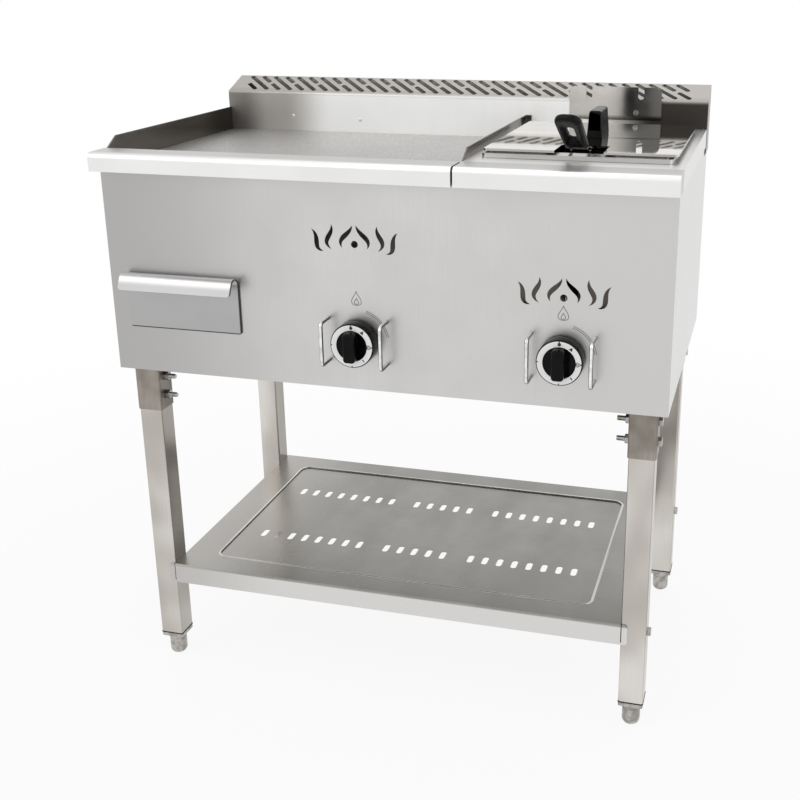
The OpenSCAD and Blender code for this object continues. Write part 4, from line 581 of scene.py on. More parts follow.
LENGTHWISE, UPWARD, DEEP = (45, 1, 1), (1, 1, 45), (1, 45, 1)
# Painted shade inside the cabinet, deeper painted shade near its top, and a painted shadow along the drawer front's
# edges.
GREASE, SOOT, LASER_CUT = "#5b5650", "#1f1c1a", "#454342"
FINISHES = {
    # Grade 304 sheet rubbed with a fine belt: pale grey with hair lines up the panel, and painted reflections that
    # darken it to the left and, less, to the right.
    "brushed_stainless_panel": (brushed_metal, dict(
        tone="sheet", shade="#c6c5c4", rough=0.36, grain=UPWARD, grain_mm=1.4,
        changes=(("X", -60, -420, "#aeadac"), ("X", 150, 420, "#c9c8c7")))),
    # The same sheet, brushed from front to rear: paler and more even.
    "brushed_stainless_side": (brushed_metal, dict(tone="#d9d9d8", shade="#d0d0cf", rough=0.34, grain=DEEP)),
    # Inside, the rear panel is painted dark as painted shade within the cabinet, and darker still towards its top,
    # from 790 to 850 mm up.
    "brushed_stainless_rear": (brushed_metal, dict(
        tone="#dcdcdb", shade="#cfcfce", rough=0.34, grain=UPWARD,
        changes=(("Y", REAR_OUTSIDE, REAR_INSIDE, (GREASE, (("Z", 790, 850, SOOT),))),))),
    # Nose and deck, brushed along their length: nearly white on the nose, with painted shade on the top just behind
    # it, and paler again further back.
    "brushed_stainless_rail": (brushed_metal, dict(
        tone="#e9e9e8", shade="#e3e3e2", rough=0.38, grain=LENGTHWISE, depth=0.002,
        changes=(("Y", *NOSE_REAR, "#bfbebd"), ("Y", PANEL_FACE + 19, PANEL_FACE + 30, "#dddcdb")))),
    # Backsplash: painted reflections make it bright in the middle and darker towards its ends, darkest at the right
    # end; its slanted face and its back are painted an even darker grey, as painted shade.
    "brushed_stainless_flue": (brushed_metal, dict(
        tone="#fdfdfc", shade="#f4f4f3", rough=0.5, grain=UPWARD, grain_mm=2.4, depth=0.003,
        changes=(("X", -225, -320, "#aeaba7"), ("X", -350, -400, "#7c7975"), ("X", 235, 335, "#3f3c39"),
                 ("Z", FLUE_BEND - 6, FLUE_BEND + 3, "#a6a39f"),
                 ("Y", FLUE_FACE + 8, FLUE_FACE + 18, "#aeaba7")))),
    # Shelf: glossier from wiping. Its tone holds painted reflections: dark on top and paler on the flange below its
    # edge, both paler towards the left.
    "brushed_stainless_shelf": (brushed_metal, dict(
        tone="#a4a29e", shade="#8b8985", rough=0.28, grain=LENGTHWISE, cloud_mm=80, stretch=(1, 1.8, 1),
        changes=(("X", -150, -390, "#b1aeaa"),
                 ("Z", SHELF_TOP - 3, SHELF_TOP - 6, ("#d6d5d3", (("X", -150, -390, "#bebcb9"),)))))),
    # The rounded edge of the pressed field is painted pale, as a painted highlight.
    "rubbed_shelf_bead": (brushed_metal, dict(tone="#dddcda", shade="#c5c3c0", rough=0.22, grain=LENGTHWISE)),
    # Drawer front: a greyer sheet, with a painted shadow along its right and bottom edges; its lip is painted
    # darker on its front and paler along its top, as painted reflections.
    "brushed_stainless_drawer": (brushed_metal, dict(
        tone="#b2b1b1", shade="#a8a7a7", rough=0.32, grain=LENGTHWISE,
        changes=(("Y", PANEL_FACE - 10, PANEL_FACE - 20,
                  ("#9a9999", (("Z", LIP_TOP - 15, LIP_TOP - 6, "#c6c5c5"),))),
                 ("X", DRAWER_RIGHT - 2.2, DRAWER_RIGHT - 1, LASER_CUT),
                 ("Z", DRAWER_LOW + 2.2, DRAWER_LOW + 1, LASER_CUT)))),
    # Square tube with a satin belt finish along its length, slightly warm. Large, strong clouds up the tube paint
    # reflections, and its faces turned to the left and right get painted shade.
    "satin_stainless_tube": (brushed_metal, dict(
        tone="leg", shade="#b5b0a9", rough=0.22, grain=UPWARD, cloud_mm=170, stretch=(1, 1, 1.3), sharp=0.14,
        sides="#9a958e", line=0.2)),
    # Sleeve left matt from pickling after the weld. Its strong clouds paint reflections, and its faces turned to
    # the left and right get painted shade.
    "pickled_steel_sleeve": (brushed_metal, dict(
        tone="#a59f98", shade="#7a736b", rough=0.36, grain=UPWARD, cloud_mm=60, sharp=0.18, sides="#706a63")),
    # Drawn tank and chute: satin grey with faint lines up the walls.
    "deep_drawn_stainless": (brushed_metal, dict(tone="#d0cfcd", shade="#bcbbb8", rough=0.24, grain=UPWARD)),
    # Mild steel ground with a wheel: mottled, silky grey.
    "ground_griddle_steel": (ground_plate, dict(tone="plate", shade="#a3a2a0", rough=0.4)),
    # Splash plates: buffed to a mirror, with a dark tone that paints the dark reflection they show.
    "polished_splash_steel": (polished_metal, dict(tone="#6f6a64", shade="#57524c", rough=0.1, streak=(1, 6, 1))),
    # Lid: a clear mirror with wiping streaks along it.
    "mirror_polished_lid": (polished_metal, dict(
        tone="lid", shade="#c9c6c2", rough=0.03, streak=(4, 1, 1), dull=0.02)),
    # Basket hanger: a softer mirror, with a painted dark reflection towards its right end.
    "polished_hanger_steel": (polished_metal, dict(
        tone="#cfccc8", shade="#bdbab5", rough=0.12, changes=(("X", 262, 320, "#6b6966"),))),
    # Drawn guard rod: bright, with painted dark reflections on its flanks that leave a bright line down its front.
    "polished_guard_rod": (polished_metal, dict(
        tone="#f2f1ef", shade="#c4c2be", rough=0.06, haze_mm=14, sides="#4d4a46")),
    # Nickel-plated basket wire: bright, slightly warm.
    "bright_plated_wire": (polished_metal, dict(tone="#b9b6b1", shade="#95928d", rough=0.12)),
    # Fasteners: bright zinc with a yellowish bloom.
    "zinc_plated_steel": (zinc_plating, dict(tone="#b3b4b6", shade="#9d988a", rough=0.22)),
    # Hidden sheet: dull grey with large zinc spangles.
    "galvanised_mill_sheet": (mill_sheet, dict(tone="#7d7e7d", shade="#5f605f", rough=0.42)),
    # Feet with fine turning rings, pipes with draw lines along them, and yellow brass valves.
    "turned_foot_steel": (turned_metal, dict(tone="#b8b5b1", shade="#95918c", rough=0.27, grain=(30, 30, 1))),
    "drawn_gas_pipe": (turned_metal, dict(tone="#8d8e8e", shade="#767778", rough=0.4, grain=LENGTHWISE)),
    "soft_aluminium_pipe": (turned_metal, dict(tone="#c8c9cb", shade="#b2b3b6", rough=0.38, grain=UPWARD)),
    "machined_brass": (turned_metal, dict(tone="#d2b06a", shade="#b08f4c", rough=0.26, grain=(30, 1, 30))),
    # Burners: oxide grey with straw and blue heat bands.
    "heat_tinted_burner_steel": (heat_tinted, dict(
        tone="#6f6b66", shade="#4d4945", straw="#7f6a47", blue="#475061")),
    # Knobs: deep black and glossy, so that one clear highlight runs down the bar.
    "gloss_knob_plastic": (moulded_plastic, dict(
        tone="knob", shade="#0a0a0a", rough=0.14, grain_mm=1.4, depth=0.004, gloss=0.1)),
    # Grips: black phenolic, more matt than the knobs.
    "matt_phenolic_grip": (moulded_plastic, dict(
        tone="grip", shade="#0e0d0d", rough=0.3, grain_mm=0.8, depth=0.012, gloss=0.14)),
    # White ring, black marks on it, and grey print on the panel.
    "white_dial_print": (printed_ink, dict(tone="#fbfbfa", shade="#f3f3f2", rough=0.35)),
    "black_dial_ink": (printed_ink, dict(tone="#161616", shade="#202020", rough=0.4)),
    "grey_panel_ink": (printed_ink, dict(tone="#7d7d7c", shade="#727271", rough=0.45)),
    # Gaskets in the tubes' ends: matt black rubber.
    "black_gasket_rubber": (soft_rubber, dict(tone="#161514", shade="#242220", rough=0.75)),
    # Studio floor: a faint shadow near the object on plain white.
    "pale_studio_floor": (pale_floor, dict(near=0.4, far=2.2, faint=0.9)),
}


# Sizes that several pieces share, in mm: the sheet, the gap behind a knob, and the bolts and nuts

SHEET, KNOB_GAP = 1.5, 6.0
BOLT_APOTHEM, BOLT_HEAD, NUT_HEIGHT, BOLT_RADIUS = 6.5, 5.3, 6.4, 4.0
# Distance of a hexagon's corner from its centre.
HEX_CORNER = 7.52


def station(x, y, z):
    """A point in millimetres from the station's centre line, the panel's face and the floor, in metres."""
    return np.array([x * MM, FACE_Y + y * MM, z * MM])


class StationSizes(bpy.types.PropertyGroup):
    """Sizes of the fine pieces and edges."""
    fold_radius: bpy.props.FloatProperty(
        name="Fold radius", description="Radius at the folds and cut edges of the sheet metal",
        default=0.0007, min=0.0002, max=0.002, unit="LENGTH")
    thread_pitch: bpy.props.FloatProperty(
        name="Thread pitch", description="Distance between two turns of the bolts' thread",
        default=0.0015, min=0.001, max=0.003, unit="LENGTH")
    thread_depth: bpy.props.FloatProperty(
        name="Thread depth", description="Depth of the bolts' thread",
        default=0.00055, min=0.0002, max=0.001, unit="LENGTH")
    mesh_pitch: bpy.props.FloatProperty(
        name="Mesh pitch", description="Distance between two wires of the basket's woven mesh",
        default=0.008, min=0.005, max=0.014, unit="LENGTH")
    mesh_wire: bpy.props.FloatProperty(
        name="Mesh wire", description="Diameter of the wires of the basket's woven mesh",
        default=0.0012, min=0.0008, max=0.002, unit="LENGTH")
    print_film: bpy.props.FloatProperty(
        name="Print thickness", description="Thickness of the printed marks",
        default=0.00008, min=0.00004, max=0.0002, unit="LENGTH")
    grip_thickness: bpy.props.FloatProperty(
        name="Grip thickness", description="Thickness of the basket's grip in its middle",
        default=0.0115, min=0.008, max=0.012, unit="LENGTH")
    floor_size: bpy.props.FloatProperty(
        name="Floor size", description="Width of the studio floor",
        default=24.0, min=6.0, max=40.0, unit="LENGTH")


class StationColours(bpy.types.PropertyGroup):
    """Colours that a user would change first."""
    sheet: bpy.props.FloatVectorProperty(
        name="Sheet steel", description="Front panel and other brushed sheets", subtype="COLOR", size=4,
        min=0, max=1, default=linear("#d1d0cf"))
    leg: bpy.props.FloatVectorProperty(
        name="Leg tube", description="Satin tube of the legs", subtype="COLOR", size=4, min=0, max=1,
        default=linear("#dedad5"))
    plate: bpy.props.FloatVectorProperty(
        name="Griddle plate", description="Ground cooking plate", subtype="COLOR", size=4, min=0, max=1,
        default=linear("#d3d2d0"))
    lid: bpy.props.FloatVectorProperty(
        name="Lid", description="Polished fryer lid", subtype="COLOR", size=4, min=0, max=1,
        default=linear("#dddbd8"))
    knob: bpy.props.FloatVectorProperty(
        name="Knobs", description="Glossy moulded knobs", subtype="COLOR", size=4, min=0, max=1,
        default=linear("#050505"))
    grip: bpy.props.FloatVectorProperty(
        name="Grips", description="Moulded grip and lid handle", subtype="COLOR", size=4, min=0, max=1,
        default=linear("#080707"))


def sizes():
    """The sizes of the scene's station."""
    return bpy.context.scene.station_sizes


def finish_nodes(finish, nodes, fold=0.0):
    """The same finish for several CAD nodes."""
    for node in nodes:
        finish_node(node, finish, fold)


class STATION_OT_sheet_metal(bpy.types.Operator):
    """Finishes the cabinet's panels, rails, deck, splash plates and backsplash"""
    bl_idname = "station.sheet_metal"
    bl_label = "Sheet metal"

    # Weld studs: radius, height, and the places of their middles in x and z, all in mm.
    STUD_RADIUS, STUD_HEIGHT = 3, 0.5
    STUD_PLACES = ((-302, 867), (-175.5, 863), (299.6, 896))

    def execute(self, context):
        fold = sizes().fold_radius / MM
        finish_node("front_panel", "brushed_stainless_panel")
        finish_nodes("brushed_stainless_side", ["left_side_panel", "right_side_panel"])
        finish_node("rear_panel", "brushed_stainless_rear")
        finish_nodes("brushed_stainless_rail", ["griddle_front_rail", "fryer_deck"])
        finish_nodes("polished_splash_steel", ["left_splash_plate", "centre_splash_plate"], fold)
        finish_node("backsplash", "brushed_stainless_flue")
        finish_node("basket_hanger", "polished_hanger_steel")
        finish_nodes("galvanised_mill_sheet", ["partition", "plate_support_rails", "burner_support_bars",
                                               "drawer_runners"], fold)
        finish_nodes("zinc_plated_steel", ["rear_panel_screws", "hanger_screws"])
        self.studs()
        return {"FINISHED"}

    def studs(self):
        """Low domes on the backsplash: the height over a radius r is stud height × (1 - (r / stud radius)²)."""
        radius = np.linspace(self.STUD_RADIUS, 0, 7)
        dome = np.c_[radius, self.STUD_HEIGHT * (1 - (radius / self.STUD_RADIUS) ** 2)]
        profile = np.r_[[(0, 0)], dome]
        front = FLUE_FACE - PANEL_FACE
        shells = [moved(revolve(profile, 24), origin=station(x, front, z)) for x, z in self.STUD_PLACES]
        add_piece("backsplash_weld_studs", shells, "cabinet", "brushed_stainless_side")


class STATION_OT_griddle(bpy.types.Operator):
    """Finishes the cooking plate and the grease chute"""
    bl_idname = "station.griddle"
    bl_label = "Griddle"

    # Round of the cooking plate's edges, in mm.
    PLATE_EDGE = 1.0

    def execute(self, context):
        finish_node("griddle_plate", "ground_griddle_steel", self.PLATE_EDGE)
        finish_node("grease_chute", "deep_drawn_stainless")
        return {"FINISHED"}


class STATION_OT_stand(bpy.types.Operator):
    """Finishes the legs and shelf, and makes the threaded bolts, nuts and turned feet"""
    bl_idname = "station.stand"
    bl_label = "Stand"

    # Length of a bolt's thread, and the least plain shank before it, in mm.
    THREADED, PLAIN = 28, 2
    # The shelf's tabs, its field's distance from the sides and ends, and the field's corner radius, in mm.
    TAB, FIELD_SIDE, FIELD_END, FIELD_CORNER = 10, 53, 43, 18
    # Half the width of the bead round the field, and its height, in mm.
    BEAD_HALF, BEAD_HEIGHT = 2, 0.9
    # A foot's stem radius, the round of its lower edge, and the gap between shoe and cap, in mm.
    STEM_RADIUS, SHOE_ROUND, SHOE_GAP = 5, 10, 0.3

    def execute(self, context):
        corners = [f"{row}_{side}" for row in ROWS for side in SIDES]
        finish_nodes("satin_stainless_tube", [f"leg_{corner}" for corner in corners])
        finish_nodes("pickled_steel_sleeve", [f"socket_{corner}" for corner in corners])
        finish_node("shelf", "brushed_stainless_shelf")
        finish_node("foot_caps", "turned_foot_steel")
        finish_node("leg_gaskets", "black_gasket_rubber")
        self.bolts("leg_bolts", (HEX_CORNER, -HEX_CORNER))
        self.bolts("shelf_bolts", (HEX_CORNER,))
        self.nuts()
        self.shelf_bead()
        for corner in corners:
            self.foot(corner)
        return {"FINISHED"}

    def bolts(self, node, insets):
        """Hexagon bolts in a node's place: a chamfered head outside and a rolled thread at the inner end. The
        insets are the heights of the bolts' axes, from the box's bottom, or where negative from its top."""
        low, high = node_box(node)
        heights = [(low[2] if inset > 0 else high[2]) + inset * MM for inset in insets]
        head_x = high[0] - BOLT_HEAD * MM
        shank = (head_x - self.tip_x(node)) / MM
        size = sizes()
        shells = []
        for side, sign in zip(SIDES, (-1, 1)):
            for row in ROWS:
                y = node_centre(f"leg_{row}_{side}")[1]
                for z in heights:
                    origin = (sign * head_x, y, z)
                    shells.append(moved(hexagon(BOLT_APOTHEM, BOLT_HEAD), origin=origin, right=(0, sign, 0)))
                    rod = threaded_rod(BOLT_RADIUS, shank, size.thread_pitch / MM, size.thread_depth / MM,
                                       max(shank - self.THREADED, self.PLAIN))
                    shells.append(moved(rod, origin=origin, right=(0, -sign, 0)))
        add_piece(f"{node}_threaded", shells, "cabinet", "zinc_plated_steel", (node,))

    @staticmethod
    def tip_x(node):
        """Where the bolts of the right side end, from the vertices of their node."""
        mesh = NODES[node].data
        points = np.empty(len(mesh.vertices) * 3)
        mesh.vertices.foreach_get("co", points)
        x = points[::3]
        return x[x > 0].min()

    def nuts(self):
        """Hexagon nuts with both ends chamfered, against the sleeves and the shelf's flanges."""
        bolts_low, bolts_high = node_box("leg_bolts")
        shelf_z = node_centre("shelf_bolts")[2]
        shelf_x = node_box("leg_front_right")[0][0] - SHEET * MM
        shells = []
        for side, sign in zip(SIDES, (-1, 1)):
            for row in ROWS:
                socket_low, socket_high = node_box(f"socket_{row}_{side}")
                face = min(abs(socket_low[0]), abs(socket_high[0]))
                y = node_centre(f"leg_{row}_{side}")[1]
                for x, z in ((face, bolts_low[2] + HEX_CORNER * MM), (face, bolts_high[2] - HEX_CORNER * MM),
                             (shelf_x, shelf_z)):
                    origin = (sign * (x - NUT_HEIGHT * MM), y, z)
                    shells.append(moved(hexagon(BOLT_APOTHEM, NUT_HEIGHT, BOLT_RADIUS),
                                        origin=origin, right=(0, sign, 0)))
        add_piece("stand_nuts_chamfered", shells, "cabinet", "zinc_plated_steel", ("stand_nuts",))

    def shelf_bead(self):
        """Rounded edge round the shelf's pressed field: the field's outline drawn in or out by each point of a low
        bow, bead height × (1 - (distance / half width)²), whose underside is sunk in the sheet."""
        low, high = node_box("shelf")
        wide = 2 * (high[0] / MM - self.TAB - self.FIELD_SIDE)
        deep = (high[1] - low[1]) / MM - 2 * self.FIELD_END
        distance = np.linspace(-self.BEAD_HALF, self.BEAD_HALF, 9)
        bow = np.c_[distance, self.BEAD_HEIGHT * (1 - (distance / self.BEAD_HALF) ** 2)]
        inner, sunk = self.BEAD_HALF - 0.1, -0.4
        grid = boss(wide, deep, self.FIELD_CORNER, np.r_[bow, [(inner, sunk), (-inner, sunk)]], 14)[0]
        origin = ((low[0] + high[0]) / 2, (low[1] + high[1]) / 2, high[2])
        shell = moved((grid, True, True), origin=origin, right=(1, 0, 0), up=(0, 1, 0))
        add_piece("shelf_pressed_bead", [shell], "cabinet", "rubbed_shelf_bead", angle=60)

    def foot(self, corner):
        """Levelling foot: a turned shoe with a quarter round at its lower edge and a groove, and a threaded
        stem."""
        node = f"foot_{corner}"
        low, high = node_box(node)
        radius = (high[0] - low[0]) / 2 / MM
        shoe = (node_box("foot_caps")[0][2] - low[2]) / MM - self.SHOE_GAP
        stem = (high[2] - low[2]) / MM - shoe
        bend = np.radians(np.linspace(-90, 0, 9))
        edge = np.c_[radius - self.SHOE_ROUND + self.SHOE_ROUND * np.cos(bend),
                     self.SHOE_ROUND + self.SHOE_ROUND * np.sin(bend)]
        groove = [(radius, shoe - 9), (radius - 0.5, shoe - 8.6), (radius - 0.5, shoe - 7.9), (radius, shoe - 7.5)]
        top = [(radius, shoe - 1.2), (radius - 0.35, shoe - 0.35), (radius - 1.2, shoe), (0, shoe)]
        profile = np.r_[[(0, 0)], edge, groove, top]
        centre = node_centre(node)
        size = sizes()
        rod = threaded_rod(self.STEM_RADIUS, stem, size.thread_pitch / MM, size.thread_depth / MM)
        axes = dict(right=(1, 0, 0), up=(0, 1, 0))
        shells = [moved(revolve(profile), origin=(centre[0], centre[1], low[2]), **axes),
                  moved(rod, origin=(centre[0], centre[1], low[2] + shoe * MM), **axes)]
        add_piece(f"levelling_{node}", shells, f"adjuster_{corner}", "turned_foot_steel", (node,))


class STATION_OT_controls(bpy.types.Operator):
    """Makes the moulded knobs, their dials and printed marks, and finishes the guards and valves"""
    bl_idname = "station.controls"
    bl_label = "Controls"

    # A knob's bar: its height over the skirt, its width and its corner radius, in mm.
    BAR_HEIGHT, BAR_WIDTH, BAR_CORNER = 15, 18, 5
    # Half widths of the spindle's hole and of the hub round it, and the skirt's wall, in mm.
    BORE, HUB, WALL = 4.05, 8.8, 2.5
    # Inner and outer radius of the dial's groove, as shares of the knob's radius.
    GROOVE = (0.69, 0.955)
    # Where the wedge, the tick, the notches and the flame stand on the dial, in degrees clockwise from the top.
    WEDGE_AT, TICK_AT, NOTCHES_AT, FLAME_AT = 38, 140, (0, 90, 180, 270), 90
    # The panel's print, in mm and degrees: radii and reach of the arcs, the width of the strokes, and the
    # flame's height over the axis with the height, width and rise of its two outlines.
    ARC_RADII, ARC_REACH, STROKE = (46, 48.6), (17, 80), 1.1
    FLAME_HEIGHT, FLAMES = 64.5, ((21, 15, 0), (9, 6.6, -4.4))

    def execute(self, context):
        finish_node("knob_guards", "polished_guard_rod")
        for control in CONTROLS:
            finish_nodes("machined_brass", [f"{control}_valve_spindle", f"{control}_gas_valve"])
            low, high = node_box(f"{control}_knob")
            centre = (low + high) / 2
            axis = np.array([centre[0], FACE_Y, centre[2]])
            self.knob(control, axis, (high[0] - low[0]) / 2 / MM, (FACE_Y - low[1]) / MM)
            self.dial(control, axis)
            self.panel_marks(control, axis)
        return {"FINISHED"}

    def knob(self, control, axis, radius, front):
        """Knob: a turned skirt with a hollow back, and a bar whose edges round over to a flat face."""
        dial = front - self.BAR_HEIGHT
        inner, outer = (share * radius for share in self.GROOVE)
        skirt = [(0, dial - 2.6), (self.BORE, dial - 2.6), (self.BORE, KNOB_GAP), (self.HUB, KNOB_GAP),
                 (self.HUB, dial - 5), (radius - self.WALL, dial - 5), (radius - self.WALL, KNOB_GAP + 0.3),
                 (radius - 2.2, KNOB_GAP), (radius - 0.4, KNOB_GAP), (radius, KNOB_GAP + 0.4),
                 (radius, dial - 1.6), (radius - 0.25, dial - 0.7), (radius - 0.8, dial - 0.15),
                 (outer + 0.25, dial),
                 (outer + 0.05, dial - 0.5), (inner + 0.5, dial - 0.5), (inner + 0.45, dial + 0.1),
                 (inner + 0.1, dial + 0.1), (inner, dial - 1.9), (inner - 0.3, dial - 2), (0, dial - 2)]
        middle = self.BAR_WIDTH / 2
        bar = [(middle, dial - 2.3), (0, dial - 2.3), (0, dial), (0.1, front - 3.4), (0.35, front - 1.9),
               (0.9, front - 0.8), (1.8, front - 0.15), (3, front), (3.4, front - 0.25), (4.4, front - 0.3),
               (middle, front - 0.3)]
        shells = [moved(revolve(skirt, 96), origin=axis),
                  moved(boss(self.BAR_WIDTH, 2 * inner - 1, self.BAR_CORNER, bar), origin=axis)]
        add_piece(f"{control}_knob_moulding", shells, f"{control}_control", "gloss_knob_plastic",
                  (f"{control}_knob",))

    def dial(self, control, axis):
        """Pale ring with printed marks: a dot at the top, a wedge, a flame, a tick and four edge notches."""
        low, high = node_box(f"{control}_dial_ring")
        face, back, outer = (FACE_Y - low[1]) / MM, (FACE_Y - high[1]) / MM, (high[0] - low[0]) / 2 / MM
        inner = self.GROOVE[0] / self.GROOVE[1] * (outer + 0.2) + 0.6
        edge = 0.12
        ring = [(inner, back), (outer - 0.1, back), (outer, back + 0.1), (outer, face - edge),
                (outer - edge, face), (inner + edge, face), (inner, face - edge)]
        add_piece(f"{control}_dial_print", [moved(revolve(ring, 96, True), origin=axis)], f"{control}_control",
                  "white_dial_print", (f"{control}_dial_ring",))
        middle = (inner + outer) / 2
        film = sizes().print_film / MM
        turn = np.linspace(0, TURN, 24, endpoint=False)
        dot_radius = 2.5
        dot = np.c_[dot_radius * np.sin(turn), middle + dot_radius * np.cos(turn)]
        wedge = self.at_hour(np.array([(-3, -2.2), (3, -2.2), (0, 3.2)]), middle, self.WEDGE_AT)
        tick = self.at_hour(rectangle(1.6, 4), middle, self.TICK_AT)
        notches = [self.at_hour(rectangle(1.6, 1.8), outer - 0.95, hour) for hour in self.NOTCHES_AT]
        flame = band(self.at_hour(self.flame(7.6, 6), middle, self.FLAME_AT), 0.9, film, True)
        tongue = band(self.at_hour(self.flame(3.4, 2.6) - [0, 1], middle, self.FLAME_AT), 0.7, film, True)
        prints = [patch(shape, film) for shape in (dot, wedge, tick, *notches)]
        shells = [moved(shell, origin=axis - [0, face * MM, 0]) for shell in (*prints, flame, tongue)]
        add_piece(f"{control}_dial_marks", shells, f"{control}_control", "black_dial_ink")

    @staticmethod
    def flame(height, width):
        """Flame outline: half width × sin(a) × (1 + cos(a)) / 1.3 across, and height × -cos(a) / 2 up."""
        a = np.linspace(0, TURN, 28, endpoint=False)
        return np.c_[width / 2 * np.sin(a) * (1 + np.cos(a)) / 1.3, -height / 2 * np.cos(a)]

    @staticmethod
    def at_hour(shape, radius, degrees):
        """A shape turned clockwise by an angle and set at that angle on a circle."""
        a = math.radians(degrees)
        turned = shape @ np.array([[math.cos(a), -math.sin(a)], [math.sin(a), math.cos(a)]])
        return turned + [radius * math.sin(a), radius * math.cos(a)]

    def panel_marks(self, control, axis):
        """Grey print on the panel: a double arc that shows the flame's range, and a small flame above it."""
        film = sizes().print_film / MM
        arcs = [band(arc(radius, *self.ARC_REACH, 32), self.STROKE, film) for radius in self.ARC_RADII]
        icon = [band(self.flame(height, width) + [0, self.FLAME_HEIGHT + rise], self.STROKE, film, True)
                for height, width, rise in self.FLAMES]
        shells = [moved(shell, origin=axis) for shell in (*arcs, *icon)]
        add_piece(f"{control}_panel_marks", shells, "cabinet", "grey_panel_ink")


class STATION_OT_fryer(bpy.types.Operator):
    """Finishes the oil tank and lid, and makes the basket's mesh and grip"""
    bl_idname = "station.fryer"
    bl_label = "Fryer"

    # Round of the lid handle's edges, and the radius of the basket's corners, in mm.
    HANDLE_EDGE, BASKET_CORNER = 1.6, 5
    # The basket's grip: its lower end on the station, in mm, and how far it leans back and turns, in degrees.
    GRIP_ROOT, GRIP_LEAN, GRIP_YAW = (275, 78, 882.5), 38, 5
    # Its width at the lower and upper end, its length and the radii of its upper and lower corners, in mm.
    GRIP_WIDE, GRIP_LONG, GRIP_CORNERS = (33.0, 38.0), 79.8, (15, 15, 5, 5)
    # Its hole: width, length, corner radius and the height of its middle, in mm.
    HOLE_WIDE, HOLE_LONG, HOLE_CORNER, HOLE_AT = 10.5, 29, 5.2, 39.2

    def execute(self, context):
        finish_node("oil_tank", "deep_drawn_stainless")
        finish_node("lid", "mirror_polished_lid")
        finish_node("lid_handle", "matt_phenolic_grip", self.HANDLE_EDGE)
        finish_node("lid_handle_screws", "zinc_plated_steel")
        finish_nodes("bright_plated_wire", ["basket_frame", "basket_handle"])
        self.mesh()
        self.grip()
        return {"FINISHED"}

    @staticmethod
    def woven(path, pitch, wave, closed=False):
        """A plane wire path stepped at half the pitch and swung to both sides by wave × cos(pi s / pitch)."""
        path = np.asarray(path, float)
        line = np.r_[path, path[:1]] if closed else path
        length = np.r_[0, np.cumsum(np.linalg.norm(np.diff(line, axis=0), axis=1))]
        count = int(length[-1] / pitch) * 2
        s = np.linspace(0, length[-1], count, endpoint=not closed)
        even = np.stack([np.interp(s, length, line[:, k]) for k in (0, 1)], -1)
        step = np.roll(even, -1, 0) - np.roll(even, 1, 0) if closed else np.gradient(even, axis=0)
        across = unit(step)[:, ::-1] * [-1, 1]
        return even + wave * across * np.cos(TURN / 2 * s / pitch)[:, None]

    def mesh(self):
        """Woven liner of the basket: wires across, wires lengthwise, and level wires round the walls."""
        low, high = (corner / MM for corner in node_box("basket_liner"))
        size = sizes()
        pitch, radius = size.mesh_pitch / MM, size.mesh_wire / MM / 2
        low, high = low + 2 * radius, high - 2 * radius
        shells = []
        for axis in (0, 1):
            other = 1 - axis
            tray = rounded_path([(low[axis], high[2]), (low[axis], low[2]), (high[axis], low[2]),
                                 (high[axis], high[2])], self.BASKET_CORNER)
            places = np.arange(low[other] + pitch / 2, high[other], pitch)
            for i, place_at in enumerate(places):
                wire = self.woven(tray, pitch, radius * (-1) ** i)
                points = np.zeros((len(wire), 3))
                points[:, axis], points[:, 2], points[:, other] = wire[:, 0], wire[:, 1], place_at
                shells.append(tube(points, radius, 5, np.eye(3)[other]))
        middle, span = (low + high) / 2, high - low
        ring = rounded_rectangle(span[0], span[1], self.BASKET_CORNER, 4) + middle[:2]
        for i, z in enumerate(np.arange(low[2] + pitch, high[2], pitch)):
            wire = self.woven(ring, pitch, radius * (-1) ** i, True)
            shells.append(tube(np.c_[wire, np.full(len(wire), z)], radius, 5, (0, 0, 1), True))
        shells = [(MM * grid, rows, columns) for grid, rows, columns in shells]
        add_piece("basket_woven_mesh", shells, "frying_basket", "bright_plated_wire",
                  ("basket_liner",), angle=80)

    def grip(self):
        """Grip with a finger hole: rings between the outer outline and the hole's outline, each at a fraction of
        the way in and of the half thickness, so that a thick rim falls in a dish to the hole."""
        lean, yaw = math.radians(self.GRIP_LEAN), math.radians(self.GRIP_YAW)
        (base_wide, tip_wide), length = self.GRIP_WIDE, self.GRIP_LONG
        corners = np.array(self.GRIP_CORNERS)[:, None, None]
        outer = rounded_rectangle(tip_wide, length, corners, 12) + [0, length / 2]
        outer[:, 0] *= (base_wide + (tip_wide - base_wide) * outer[:, 1] / length) / tip_wide
        hole = rounded_rectangle(self.HOLE_WIDE, self.HOLE_LONG, self.HOLE_CORNER, 12) + [0, self.HOLE_AT]
        rim = np.array([(0, 0), (0.005, 0.3), (0.03, 0.6), (0.09, 0.83), (0.18, 0.96), (0.3, 1), (0.42, 0.98),
                        (0.54, 0.88), (0.68, 0.7), (0.82, 0.56), (0.93, 0.5), (0.985, 0.42), (1, 0.3), (1, 0)])
        section = np.concatenate([rim, (rim * [1, -1])[-2:0:-1]])[:, None, :]
        flat = outer + (hole - outer) * section[..., :1]
        thinning = 0.16
        taper = 1 - thinning * np.clip(flat[..., 1:] / length, 0, 1) ** 2
        grid = np.concatenate([flat, sizes().grip_thickness / MM / 2 * section[..., 1:] * taper], -1)
        side = (math.cos(yaw), -math.sin(yaw), 0)
        upward = (-math.cos(lean) * math.sin(yaw), -math.cos(lean) * math.cos(yaw), math.sin(lean))
        shell = moved((grid, True, True), origin=station(*self.GRIP_ROOT), right=side, up=upward)
        add_piece("basket_grip_moulding", [shell], "frying_basket", "matt_phenolic_grip",
                  ("basket_grip",))


